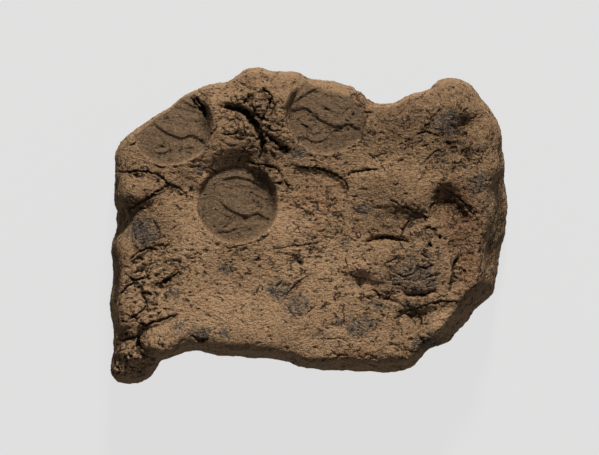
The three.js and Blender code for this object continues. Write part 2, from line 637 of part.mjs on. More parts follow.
const clay = new THREE.MeshStandardMaterial({ color: 0x8a6b4e, roughness: 0.95, metalness: 0 });

const lump = new THREE.Mesh(makeLump(), clay);
lump.name = 'bulla';

const group = new THREE.Group();
group.add(lump);

export default group;
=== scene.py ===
"""Dresses the clay bulla: a flat lump of clay with three impressions of one round stamp."""
import logging
import math
from dataclasses import dataclass
from enum import Enum
from typing import Iterable, Mapping, Optional, Sequence, Union

import bmesh
import bpy
import numpy as np
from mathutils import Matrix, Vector


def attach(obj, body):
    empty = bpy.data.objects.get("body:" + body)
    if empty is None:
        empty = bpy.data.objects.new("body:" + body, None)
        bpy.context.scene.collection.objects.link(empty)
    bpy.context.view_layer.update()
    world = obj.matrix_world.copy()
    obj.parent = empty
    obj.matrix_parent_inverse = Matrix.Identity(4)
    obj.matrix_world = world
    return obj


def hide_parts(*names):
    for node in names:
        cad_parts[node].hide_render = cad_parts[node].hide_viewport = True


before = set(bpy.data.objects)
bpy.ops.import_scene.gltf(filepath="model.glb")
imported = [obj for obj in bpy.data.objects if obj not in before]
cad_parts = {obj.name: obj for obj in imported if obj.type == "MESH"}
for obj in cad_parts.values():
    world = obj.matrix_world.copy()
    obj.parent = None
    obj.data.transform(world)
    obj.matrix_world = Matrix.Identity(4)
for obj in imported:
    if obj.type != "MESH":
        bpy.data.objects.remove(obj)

LOG = logging.getLogger("bulla")

MM = 0.001
TRIANGLE_LIMIT = 194_000

Place = tuple[float, float]
Triple = tuple[float, float, float]
Path = tuple[Place, ...]
Plug = Union[bpy.types.NodeSocket, float, int, bool, str, tuple, bpy.types.ID]


def ease(values: np.ndarray, low: float, high: float) -> np.ndarray:
    """Returns 0 up to low and 1 from high on, with a soft step between."""
    share = np.clip((values - low) / (high - low), 0.0, 1.0)
    return share * share * (3.0 - 2.0 * share)


def soft_minimum(first: np.ndarray, second: np.ndarray, sharpness: float) -> np.ndarray:
    """Returns the lower of two heights, with a rounded change from one to the other."""
    return -np.logaddexp(-sharpness * first, -sharpness * second) / sharpness


def path_offsets(x: np.ndarray, y: np.ndarray, path: Path) -> tuple[np.ndarray, np.ndarray]:
    """Measures places against a path.

    Args:
        x: First coordinates, in millimetres.
        y: Second coordinates, in millimetres.
        path: Corners of the path.

    Returns:
        The distance to the path, and the side it lies on: 1 to its left and -1 to its right.
    """
    nearest = np.full(x.shape, np.inf)
    side = np.ones(x.shape)
    for (x0, y0), (x1, y1) in zip(path, path[1:]):
        dx, dy = x1 - x0, y1 - y0
        along = np.clip(((x - x0) * dx + (y - y0) * dy) / (dx * dx + dy * dy), 0.0, 1.0)
        distance = np.hypot(x - x0 - along * dx, y - y0 - along * dy)
        closer = distance < nearest
        cross = dx * (y - y0) - dy * (x - x0)
        nearest = np.where(closer, distance, nearest)
        side = np.where(closer, np.where(cross >= 0.0, 1.0, -1.0), side)
    return nearest, side


def rounded(path: Path, rounds: int = 2) -> Path:
    """Cuts the corners of a path off in a number of rounds and keeps its ends."""
    for _ in range(rounds):
        cut: list[Place] = [path[0]]
        for (x0, y0), (x1, y1) in zip(path, path[1:]):
            cut.append((0.75 * x0 + 0.25 * x1, 0.75 * y0 + 0.25 * y1))
            cut.append((0.25 * x0 + 0.75 * x1, 0.25 * y0 + 0.75 * y1))
        path = (*cut, path[-1])
    return path


class Zone(Enum):
    """What differs over a patch of the surface. The value names the attribute that holds it."""

    SOOT = "soot"
    EARTH = "earth"
    CRUMBLE = "crumble"
    SMOOTH = "smooth"
    TORN = "torn"
    # Darker clay in some places and painted shade in others.
    DARK = "dark"
    # Paler clay in some places and painted light in others.
    PALE = "pale"


@dataclass(frozen=True)
class Patch:
    """An oval patch of the surface seen from above, in millimetres."""

    at: Place
    reach: Place
    strength: float = 1.0

    def cover(self, x: np.ndarray, y: np.ndarray) -> np.ndarray:
        """Returns how much of the patch covers each place, from 0 to its strength."""
        square = ((x - self.at[0]) / self.reach[0]) ** 2 + ((y - self.at[1]) / self.reach[1]) ** 2
        return self.strength * np.exp(-0.8 * square)


@dataclass(frozen=True)
class Stroke:
    """A raised stroke of the stamp's worn figure, steep on its right and gentle on its left."""

    path: Path
    rise: float
    gentle: float
    steep: float

    def height(self, x: np.ndarray, y: np.ndarray) -> np.ndarray:
        """Returns the height that the stroke adds at each place, in millimetres."""
        distance, side = path_offsets(x, y, rounded(self.path))
        width = np.where(side > 0.0, self.gentle, self.steep)
        return self.rise * np.exp(-((distance / width) ** 2))


@dataclass(frozen=True)
class Cracks:
    """Cracks of one kind: half width and depth in millimetres, and their paths from above."""

    name: str
    width: float
    depth: float
    paths: tuple[Path, ...]


@dataclass(frozen=True)
class Swell:
    """A low rise or dip of the face that the frame's form is too coarse for, in millimetres."""

    name: str
    at: Place
    reach: Place
    rise: float

    def height(self, x: np.ndarray, y: np.ndarray) -> np.ndarray:
        """Returns what the swell adds to the height of each place."""
        square = ((x - self.at[0]) / self.reach[0]) ** 2 + ((y - self.at[1]) / self.reach[1]) ** 2
        return self.rise * np.exp(-square)


@dataclass(frozen=True)
class Impression:
    """One press of the round stamp, in millimetres.

    The deep side is where its wall is highest, in degrees. The wear is the share of the figure's west end
    that is gone.
    """

    name: str
    at: Place
    deep_side: float
    wear: float


STAMP_RADIUS = 5.95
WALL_WIDTH = 0.26
WALL_FLARE = 0.34
FILLET_WIDTH = 1.5
FILLET_SHARE = 0.26

IMPRESSIONS = (
    Impression("west", (-21.9, 15.9), 15.0, 0.8),
    Impression("north", (2.9, 17.7), 160.0, 0.0),
    Impression("middle", (-11.5, 3.5), 48.0, 0.85),
)

FIGURE = (
    Stroke(((-4.9, 0.9), (-3.6, 1.4), (-2.6, 0.7), (-1.8, -0.2), (-0.5, -1.0), (0.8, -1.5), (1.8, -1.9),
            (2.7, -1.4), (3.6, -1.3), (4.8, -2.1)), 0.45, 1.5, 0.22),
    Stroke(((-5.2, 2.2), (-3.6, 3.3), (-1.9, 4.2), (0.0, 4.5), (2.0, 4.1), (3.6, 3.2)), 0.4, 0.6, 0.2),
    Stroke(((0.9, 3.0), (1.9, 2.9), (2.9, 2.5)), 0.22, 0.7, 0.16),
    Stroke(((1.6, 1.5), (2.6, 0.9), (3.6, 1.2), (4.4, 0.9)), 0.24, 0.6, 0.18),
    Stroke(((-1.2, 1.7), (0.2, 1.1), (1.4, 0.3), (2.4, 0.4)), 0.2, 0.7, 0.25),
    Stroke(((-4.1, -2.6), (-3.4, -3.6), (-2.2, -4.2), (-1.0, -4.2), (-0.2, -3.7)), 0.34, 0.5, 0.2),
    Stroke(((-3.3, -2.0), (-2.6, -2.8), (-1.6, -3.0), (-0.9, -2.5), (-1.0, -1.9)), 0.28, 0.45, 0.2),
    Stroke(((-4.9, -0.6), (-4.0, -1.4), (-3.1, -1.7)), 0.18, 0.4, 0.2),
    Stroke(((1.2, -3.4), (2.4, -3.7), (3.4, -3.2)), 0.14, 0.6, 0.3),
)

CRACKS = (
    Cracks("main fissure", 0.42, 1.7, (
        ((-14.0, 19.0), (-12.4, 18.8), (-10.7, 18.5), (-9.4, 17.4), (-8.3, 16.0), (-7.5, 14.6), (-7.1, 13.3),
         (-7.5, 11.5), (-7.9, 10.4)),
    )),
    Cracks("slot in the wall of the west stamp", 0.36, 1.3, (
        ((-19.0, 20.8), (-18.0, 19.5), (-17.1, 18.4), (-16.4, 17.2)),
        ((-17.8, 20.2), (-17.0, 18.9), (-16.2, 17.6)),
    )),
    Cracks("wide fissure", 0.3, 1.2, (
        ((-9.6, 17.6), (-8.8, 16.7), (-8.2, 15.8), (-7.4, 14.8)),
        ((-6.8, 14.6), (-5.4, 13.3), (-3.6, 12.3), (-3.3, 11.5)),
    )),
    Cracks("fissure branches", 0.2, 0.7, (
        ((-11.2, 23.0), (-9.9, 22.2), (-9.3, 21.6)),
        ((-7.9, 22.5), (-7.1, 21.7), (-5.9, 20.5), (-6.3, 19.0), (-7.1, 17.4), (-7.6, 16.0)),
        ((-11.8, 20.6), (-11.2, 19.7)),
        ((-10.4, 18.6), (-10.2, 19.7), (-9.7, 20.5), (-8.6, 20.8)),
        ((-9.2, 17.3), (-8.4, 17.8), (-7.8, 17.4)),
        ((-16.0, 13.9), (-14.4, 15.8)),
        ((-13.9, 14.6), (-12.3, 14.4), (-11.0, 15.0)),
    )),
    Cracks("fold lines south of the fissure", 0.24, 0.9, (
        ((-9.9, 10.4), (-8.3, 9.8), (-6.8, 9.6), (-5.4, 9.3), (-4.4, 8.5), (-4.1, 7.7)),
        ((-3.6, 9.9), (-2.0, 9.6), (-0.6, 9.3), (1.0, 9.2), (2.6, 8.8), (3.9, 8.2), (5.0, 7.6), (6.0, 6.7),
         (6.1, 5.8), (5.6, 4.0)),
        ((5.6, 7.7), (6.9, 8.6), (8.2, 8.8), (11.1, 9.1)),
        ((-4.0, 7.4), (-3.2, 6.4), (-3.5, 5.3)),
        ((-5.6, 6.9), (-4.1, 6.6)),
    )),
    Cracks("west folds", 0.26, 0.9, (
        ((-30.8, 8.7), (-29.4, 8.5), (-27.8, 8.6), (-25.4, 8.6), (-23.8, 8.0), (-22.2, 6.7), (-20.3, 5.8),
         (-19.5, 5.3), (-19.2, 4.3)),
        ((-22.2, 6.4), (-23.8, 5.6), (-25.7, 4.2), (-27.8, 2.9), (-29.9, 1.6)),
        ((-24.1, -3.8), (-25.4, -3.4), (-27.0, -4.2), (-28.4, -5.4)),
    )),
    Cracks("west hairlines", 0.15, 0.45, (
        ((-19.0, 5.4), (-18.4, 6.2)),
        ((-25.1, 1.6), (-24.6, 1.1), (-24.4, 0.3), (-23.8, -0.6), (-23.5, -1.8), (-23.8, -2.7)),
        ((-21.4, 3.8), (-20.6, 2.7), (-20.3, 2.1)),
        ((-20.6, 0.3), (-21.6, -0.5), (-22.5, -1.1)),
        ((-24.6, 9.6), (-23.0, 9.1), (-22.5, 9.4)),
        ((-28.3, 9.3), (-27.6, 9.9), (-27.2, 9.6)),
        ((-16.1, 9.3), (-15.2, 8.8), (-14.2, 8.6)),
    )),
    Cracks("hairlines under the middle stamp", 0.14, 0.4, (
        ((-13.4, -3.2), (-12.6, -3.6), (-11.0, -3.2), (-9.9, -2.7)),
        ((-8.8, -2.7), (-7.5, -2.2), (-6.5, -1.4), (-6.0, -0.8)),
        ((-11.0, -4.0), (-9.4, -3.2)),
        ((-8.6, -5.6), (-7.5, -4.5)),
        ((-5.7, -3.7), (-3.0, -3.2), (0.2, -2.9), (2.6, -2.4)),
        ((-2.7, -3.2), (-1.9, -2.2)),
        ((0.0, -3.8), (1.0, -4.6)),
        ((-19.3, -3.8), (-17.7, -4.0)),
        ((-21.2, -1.9), (-20.1, -1.6)),
    )),
    Cracks("edges of the flaked place", 0.17, 0.45, (
        ((-4.4, -12.2), (-3.6, -11.2), (-2.7, -9.9), (-1.6, -8.8), (-0.4, -8.0), (0.7, -7.7)),
        ((-4.0, -12.0), (-3.0, -13.4), (-1.9, -14.7)),
        ((-0.8, -14.2), (1.2, -12.6)),
        ((-5.2, -9.6), (-4.0, -8.5)),
        ((1.8, -13.3), (2.6, -12.3)),
        ((5.0, -7.7), (6.3, -7.7), (7.4, -8.0), (8.5, -9.4)),
    )),
    Cracks("crumbs beside the east flap", 0.26, 0.9, (
        ((14.0, 3.4), (15.4, 2.9), (16.8, 2.1), (18.1, 1.6), (19.4, 1.0)),
        ((16.2, 1.3), (15.6, 0.3), (14.9, -0.6), (14.6, -1.9)),
        ((17.8, -0.5), (19.1, -0.3), (20.4, -0.8)),
        ((20.4, -1.4), (21.3, -1.9)),
        ((18.9, -2.6), (19.6, -3.4)),
        ((9.0, -2.7), (10.1, -2.1), (11.4, -1.8), (12.7, -1.8), (13.6, -2.1), (14.9, -2.2), (16.5, -2.6)),
        ((20.4, 6.9), (20.5, 5.8), (20.2, 4.5), (19.4, 2.9), (19.1, 1.8)),
    )),
    Cracks("edges of the east hollow", 0.2, 0.5, (
        ((20.4, 6.9), (21.5, 5.9), (22.9, 5.0), (24.4, 3.7), (25.5, 2.4), (26.9, 0.6)),
        ((12.6, 4.4), (14.0, 3.5), (15.4, 2.9)),
    )),
    Cracks("east hairlines", 0.15, 0.4, (
        ((9.8, 9.8), (10.0, 10.7), (10.6, 11.0), (12.7, 11.7)),
        ((10.6, 17.6), (11.4, 16.6)),
        ((14.0, 10.1), (15.2, 10.6)),
    )),
    Cracks("edge of the thumb lobe", 0.32, 0.9, (
        ((24.0, -3.9), (23.5, -5.2), (22.9, -7.0), (22.5, -8.8), (22.4, -10.4)),
    )),
    Cracks("cracks in the impressions", 0.16, 0.4, (
        ((-9.6, 5.4), (-8.5, 4.9), (-7.6, 4.5)),
        ((-22.4, 13.3), (-22.1, 12.4), (-21.8, 11.3)),
        ((-1.4, 16.3), (-0.2, 15.6), (1.3, 14.7)),
        ((1.0, 18.0), (1.3, 17.3), (1.3, 16.5)),
        ((-24.6, 12.2), (-23.4, 12.6), (-22.4, 12.5)),
        ((-13.4, 1.6), (-12.3, 1.2), (-11.6, 1.3)),
        ((3.4, 14.4), (4.2, 15.1), (5.3, 15.0)),
    )),
    Cracks("thumb lobe", 0.2, 0.6, (
        ((9.2, -9.9), (10.4, -10.2), (11.4, -11.4), (12.7, -11.5), (13.3, -10.2)),
        ((14.8, -10.4), (15.6, -11.0), (17.0, -11.0), (18.6, -10.7), (20.4, -10.1)),
        ((8.2, -10.7), (10.1, -11.7)),
        ((12.2, -5.8), (14.0, -5.1), (15.2, -5.4)),
        ((13.3, -7.4), (15.2, -8.0), (16.8, -7.5)),
        ((17.5, -4.3), (19.1, -5.1)),
        ((16.5, -6.2), (18.4, -6.7), (20.0, -6.1)),
    )),
    Cracks("north-east cracks", 0.18, 0.6, (
        ((16.5, 14.2), (17.3, 14.7), (18.4, 14.9), (19.6, 14.6), (20.7, 14.1)),
        ((17.6, 14.9), (18.9, 16.0), (19.6, 17.3), (21.0, 18.6)),
        ((19.6, 17.3), (18.9, 18.1), (18.4, 18.7)),
        ((18.1, 10.1), (19.2, 11.0), (19.9, 11.7), (21.2, 12.2)),
        ((23.7, 11.0), (24.5, 12.0), (25.8, 12.8)),
        ((24.0, 17.4), (25.2, 18.9)),
        ((21.6, 13.4), (22.6, 12.8)),
        ((25.8, 17.0), (26.8, 17.6)),
    )),
    Cracks("south-east grooves", 0.24, 0.7, (
        ((16.5, -13.3), (17.5, -13.0), (18.6, -12.5), (19.9, -12.2), (21.3, -11.9), (22.6, -12.0),
         (24.2, -12.2)),
        ((15.2, -13.9), (16.2, -14.4), (17.0, -13.9)),
        ((17.5, -14.1), (17.8, -15.0), (17.5, -16.3)),
    )),
    Cracks("southern hairlines", 0.14, 0.35, (
        ((14.0, -15.4), (14.9, -16.3)),
        ((10.3, -18.2), (11.1, -17.4)),
        ((13.3, -19.2), (14.3, -20.0)),
        ((14.0, -18.9), (14.9, -19.7)),
        ((1.8, -17.9), (3.2, -17.9), (4.5, -17.8), (5.8, -18.1), (6.6, -18.6)),
        ((-3.0, -21.6), (-1.4, -22.4)),
        ((6.9, -20.2), (8.2, -19.5)),
        ((-1.4, -16.6), (0.0, -16.2)),
        ((-16.6, -13.9), (-15.0, -14.6)),
        ((-19.6, -12.2), (-18.7, -11.7)),
        ((-13.2, -20.2), (-12.0, -20.5)),
    )),
    Cracks("south-west folds", 0.3, 1.0, (
        ((-27.6, -15.0), (-26.7, -15.4), (-25.7, -15.7), (-24.6, -15.2), (-23.0, -14.8), (-21.9, -14.4),
         (-20.8, -14.2)),
        ((-26.8, -16.6), (-27.0, -17.9), (-27.0, -19.0), (-26.5, -20.2), (-25.4, -20.8), (-24.3, -21.3)),
        ((-24.6, -9.3), (-23.8, -9.1), (-22.8, -8.8), (-21.9, -8.2), (-20.6, -7.3)),
    )),
    Cracks("south-west crumbs", 0.22, 0.7, (
        ((-24.3, -14.6), (-23.8, -13.9), (-23.3, -13.3)),
        ((-26.0, -13.0), (-25.7, -12.0), (-26.0, -11.2)),
        ((-30.5, -17.8), (-29.6, -18.2), (-28.6, -17.8), (-27.0, -17.6)),
        ((-30.5, -19.0), (-29.9, -18.6)),
        ((-29.2, -17.4), (-28.9, -16.8)),
        ((-28.9, -7.4), (-28.4, -8.2), (-27.5, -8.6), (-26.0, -8.3), (-24.9, -7.7)),
        ((-30.2, -11.0), (-29.1, -9.9), (-27.8, -9.1), (-26.8, -9.3)),
        ((-26.5, -10.7), (-25.7, -10.4), (-24.9, -10.6)),
        ((-29.2, -13.8), (-28.1, -14.4), (-27.2, -14.1), (-26.0, -13.3), (-25.7, -12.5)),
        ((-29.9, -15.4), (-29.1, -14.7)),
        ((-19.0, -17.3), (-18.4, -17.4), (-17.4, -18.2), (-16.1, -17.9), (-15.6, -17.6)),
        ((-31.3, -21.9), (-30.5, -22.4), (-29.9, -23.0)),
        ((-31.5, -23.5), (-30.5, -23.4), (-29.6, -23.2)),
        ((-30.4, -20.0), (-29.9, -19.7)),
    )),
)

SWELLS = (
    Swell("crown of the stump", (-29.0, -22.6), (2.8, 1.9), 2.6),
    Swell("crumb over the thumb dent", (8.1, -6.7), (0.8, 0.5), 0.7),
    Swell("thumb dent", (8.5, -8.1), (1.3, 0.7), -0.6),
    Swell("second dent", (10.6, -9.4), (1.4, 0.6), -0.4),
    Swell("bank beside the thumb lobe", (24.4, -8.4), (0.9, 3.0), 0.5),
    Swell("block beside the main fissure", (-9.2, 20.2), (1.5, 1.5), 0.5),
    Swell("block at the end of the fissure", (-5.0, 13.8), (1.2, 1.2), 0.5),
)

PATCHES: Mapping[Zone, tuple[Patch, ...]] = {
    Zone.SOOT: (
        Patch((-26.2, -1.0), (2.8, 2.4)),
        Patch((-17.4, 9.0), (1.2, 1.0), 0.8),
        Patch((-13.2, -6.7), (1.3, 1.1), 0.9),
        Patch((-21.4, -10.6), (1.6, 1.2), 0.7),
        Patch((-20.6, -15.8), (1.6, 1.3), 0.8),
        Patch((-17.4, -17.1), (2.4, 1.3)),
        Patch((-13.4, -17.0), (1.1, 0.9), 0.9),
        Patch((-4.9, -10.2), (1.9, 1.7)),
        Patch((-2.0, -12.6), (2.0, 2.2)),
        Patch((-1.4, 11.4), (2.2, 1.2), 0.8),
        Patch((9.0, 2.6), (2.1, 1.4), 0.8),
        Patch((5.8, -2.6), (0.8, 0.7), 0.8),
        Patch((22.0, 16.6), (2.4, 2.2)),
        Patch((27.1, 7.0), (1.6, 2.0)),
        Patch((28.7, 5.0), (0.9, 1.1), 0.8),
        Patch((21.0, 10.6), (2.2, 0.9), 0.6),
        Patch((17.2, -7.6), (5.6, 4.2), 0.76),
        Patch((8.2, -15.8), (3.4, 2.1), 0.9),
        Patch((11.4, -12.6), (3.0, 1.1), 0.8),
        Patch((4.2, -15.0), (1.5, 1.1), 0.7),
        Patch((1.8, -17.4), (1.5, 1.1), 0.7),
        Patch((16.2, -12.6), (1.6, 1.3), 0.9),
        Patch((18.8, -18.6), (3.0, 1.4)),
        Patch((23.4, -13.4), (1.3, 1.0), 0.6),
    ),
    Zone.EARTH: (
        Patch((23.8, 1.6), (3.4, 5.6)),
        Patch((25.3, -7.4), (2.2, 4.4)),
        Patch((7.7, -20.6), (2.8, 1.4), 0.9),
        Patch((-29.9, -4.6), (1.8, 2.2), 0.9),
        Patch((1.5, 4.2), (4.8, 4.0), 0.75),
        Patch((-10.5, 12.0), (3.6, 2.4), 0.45),
        Patch((-25.6, -19.8), (0.6, 0.6)),
        Patch((7.6, 0.0), (0.8, 0.7), 0.8),
        Patch((8.8, 20.6), (1.5, 1.7)),
    ),
    Zone.CRUMBLE: (
        Patch((-8.6, 17.4), (4.6, 5.2)),
        Patch((-5.4, 12.6), (3.0, 3.0), 0.8),
        Patch((1.5, 4.2), (5.0, 4.0), 0.5),
        Patch((-25.4, -10.2), (4.6, 7.4), 0.75),
        Patch((-28.6, -20.0), (3.4, 3.6), 0.9),
        Patch((16.5, -6.4), (5.6, 4.2), 0.35),
        Patch((22.6, 13.6), (5.4, 4.6), 0.4),
        Patch((24.0, 1.8), (3.6, 6.0), 0.5),
        Patch((25.2, -7.4), (2.4, 4.6), 0.5),
        Patch((15.0, 0.4), (4.6, 2.4), 0.6),
        Patch((16.4, -14.0), (3.0, 2.4), 0.7),
        Patch((8.6, 20.6), (2.0, 2.2)),
    ),
    Zone.TORN: (
        Patch((1.4, 4.4), (4.8, 4.2)),
        Patch((14.0, 1.6), (4.2, 2.2), 0.8),
        Patch((24.4, -0.6), (3.2, 5.0), 0.8),
        Patch((22.8, 13.8), (4.6, 3.2), 0.7),
        Patch((-8.6, 16.0), (4.0, 5.6), 0.6),
        Patch((10.4, -20.4), (5.2, 1.6), 0.8),
        Patch((9.0, -10.2), (3.4, 1.6), 0.8),
        Patch((-22.0, 3.6), (3.4, 1.8), 0.5),
    ),
    # Dark patches: partly darker clay, partly painted shade on slopes and hollows that face away from the
    # light. Those stronger than 0.85 are also painted towards near black, as painted shadows.
    Zone.DARK: (
        Patch((14.6, 16.6), (7.4, 5.0)),
        Patch((22.4, 14.4), (6.0, 5.4)),
        Patch((-8.2, 14.4), (5.4, 6.4), 0.5),
        Patch((-8.0, 10.6), (4.6, 2.6)),
        # Painted shade in the east hollow.
        Patch((24.2, 2.4), (3.8, 5.4), 1.15),
        Patch((25.6, -8.0), (2.6, 4.4), 0.1),
        Patch((15.6, -6.0), (7.2, 4.6), 0.5),
        Patch((17.8, -15.0), (3.6, 2.6), 0.4),
        Patch((13.4, 1.4), (5.4, 2.6), 0.7),
        Patch((-26.4, 1.0), (4.4, 4.6), 0.6),
        Patch((-27.6, -12.4), (3.2, 7.4), 0.15),
        Patch((1.2, 6.4), (4.6, 2.8), 0.4),
        # Painted shadows on the east wall of the west impression and on the north-east and east walls of the
        # middle one.
        Patch((-16.3, 16.6), (1.0, 3.6), 1.3),
        Patch((-7.2, 7.6), (1.5, 2.0), 1.3),
        Patch((-6.0, 4.6), (0.9, 2.8), 1.1),
        # Painted shade in the east hollow.
        Patch((22.4, 3.6), (2.2, 3.0), 1.35),
        Patch((24.6, -1.0), (2.6, 3.8), 1.15),
        Patch((12.0, 5.8), (5.0, 2.6), 0.75),
        # Painted shade on the east side of the lump.
        Patch((31.0, -2.0), (1.6, 9.0), 1.05),
    ),
    # Pale patches: partly paler clay, partly painted light on places that lie in shade. Those stronger than 1
    # are lightened further.
    Zone.PALE: (
        Patch((-16.8, -2.6), (4.6, 3.6)),
        Patch((-4.4, -0.6), (5.2, 4.4)),
        Patch((-12.6, -13.6), (13.0, 5.2), 0.9),
        Patch((2.6, -18.2), (7.0, 2.8), 0.8),
        Patch((-22.8, 19.4), (6.0, 3.4), 0.9),
        Patch((22.0, -14.8), (3.6, 2.2)),
        Patch((12.4, 8.4), (4.6, 1.6), 0.2),
        Patch((-23.0, -17.8), (3.4, 2.6), 0.7),
        # Painted light on the top of the stump, which lies in the shade of the face.
        Patch((-29.4, -22.6), (2.8, 2.4), 1.3),
        Patch((-26.4, -10.4), (3.6, 5.2)),
        Patch((1.8, 2.8), (4.4, 2.8), 1.15),
        Patch((8.1, -6.8), (1.0, 0.7), 1.5),
        Patch((4.0, -6.4), (7.4, 4.0), 1.1),
        Patch((-16.6, 11.2), (4.2, 2.2), 1.15),
        # Painted light on the west wall.
        Patch((-31.4, -6.0), (1.2, 14.0), 1.5),
        Patch((20.6, -15.4), (3.6, 1.8), 1.2),
    ),
    Zone.SMOOTH: (
        Patch((-8.6, -15.4), (12.0, 4.4)),
        Patch((13.0, 6.8), (6.4, 3.0), 0.8),
        Patch((-4.2, 0.4), (3.2, 2.4), 0.8),
        Patch((-19.0, -0.4), (3.2, 2.2), 0.8),
        Patch((-3.6, 21.4), (2.0, 3.0), 0.8),
        Patch((-26.0, 11.4), (4.0, 2.0), 0.6),
    ),
}


class NodeDesk:
    """Adds nodes to one tree and joins them."""

    def __init__(self, tree: bpy.types.NodeTree) -> None:
        """Keeps the tree that the nodes go into."""
        self.tree = tree

    def join(self, socket: bpy.types.NodeSocket, value: Plug) -> None:
        """Links a socket to another one, or sets its value."""
        if isinstance(value, bpy.types.NodeSocket):
            self.tree.links.new(value, socket)
        else:
            socket.default_value = value

    def add(self, kind: str, plugs: Optional[Mapping[Union[int, str], Plug]] = None,
            outlet: Union[int, str] = 0, **settings: object) -> bpy.types.NodeSocket:
        """Adds a node.

        Args:
            kind: Blender's name of the node.
            plugs: Links and values for the node's inputs, by name or number.
            outlet: The output that is wanted.
            **settings: Properties of the node.

        Returns:
            The wanted output.
        """
        node = self.tree.nodes.new(kind)
        for name, value in settings.items():
            setattr(node, name, value)
        for key, value in (plugs or {}).items():
            self.join(node.inputs[key], value)
        return node.outputs[outlet]

    def math(self, operation: str, first: Plug, second: Plug = 0.0, third: Plug = 0.0,
             clamp: bool = False) -> bpy.types.NodeSocket:
        """Adds a sum, product or the like of numbers."""
        plugs = {0: first, 1: second, 2: third}
        return self.add("ShaderNodeMath", plugs, operation=operation, use_clamp=clamp)

    def product(self, *values: Plug) -> Plug:
        """Multiplies numbers with one another."""
        result: Plug = values[0]
        for value in values[1:]:
            result = self.math("MULTIPLY", result, value)
        return result

    def around_zero(self, noise: Plug) -> bpy.types.NodeSocket:
        """Shifts noise around 0.5 to noise around 0."""
        return self.math("SUBTRACT", noise, 0.5)

    def total(self, values: Iterable[Plug]) -> Plug:
        """Adds numbers up."""
        result: Plug = 0.0
        for value in values:
            result = self.math("ADD", result, value)
        return result

    def vector(self, operation: str, first: Plug, second: Plug = (0.0, 0.0, 0.0)) -> bpy.types.NodeSocket:
        """Adds a sum, product or the like of vectors."""
        return self.add("ShaderNodeVectorMath", {0: first, 1: second}, operation=operation)

    def scaled(self, vector: Plug, factor: Plug) -> bpy.types.NodeSocket:
        """Scales a vector by a number."""
        return self.add("ShaderNodeVectorMath", {0: vector, "Scale": factor}, operation="SCALE")

    def stretched(self, vector: Plug, factors: Triple) -> bpy.types.NodeSocket:
        """Multiplies each part of a vector by its own factor."""
        return self.vector("MULTIPLY", vector, factors)

    def noise(self, vector: Plug, scale: float, detail: float = 2.0, roughness: float = 0.55,
              outlet: int = 0) -> bpy.types.NodeSocket:
        """Adds cloudy noise around 0.5. Outlet 1 is its colour."""
        plugs = {"Vector": vector, "Scale": scale, "Detail": detail, "Roughness": roughness}
        return self.add("ShaderNodeTexNoise", plugs, outlet=outlet)

    def cells(self, vector: Plug, scale: float, outlet: str = "Distance",
              feature: str = "F1") -> bpy.types.NodeSocket:
        """Adds scattered cells."""
        plugs = {"Vector": vector, "Scale": scale}
        return self.add("ShaderNodeTexVoronoi", plugs, outlet=outlet, feature=feature)

    def seams(self, vector: Plug, size: float) -> bpy.types.NodeSocket:
        """Measures how far places are from the seams between cells of a size."""
        return self.cells(vector, 1.0 / size, feature="DISTANCE_TO_EDGE")

    def step(self, value: Plug, low: Plug, high: Plug, start: Plug = 0.0,
             end: Plug = 1.0) -> bpy.types.NodeSocket:
        """Adds a soft step from start to end as the value goes from low to high."""
        plugs = {"Value": value, "From Min": low, "From Max": high, "To Min": start, "To Max": end}
        return self.add("ShaderNodeMapRange", plugs, interpolation_type="SMOOTHSTEP")


@dataclass(frozen=True)
class Ground:
    """The place in millimetres and the marks of the surface, as fields of one tree."""

    place: Plug
    top: Plug
    pressed: Plug
    crumble: Plug
    torn: Plug
    side: Plug
    rough: Plug


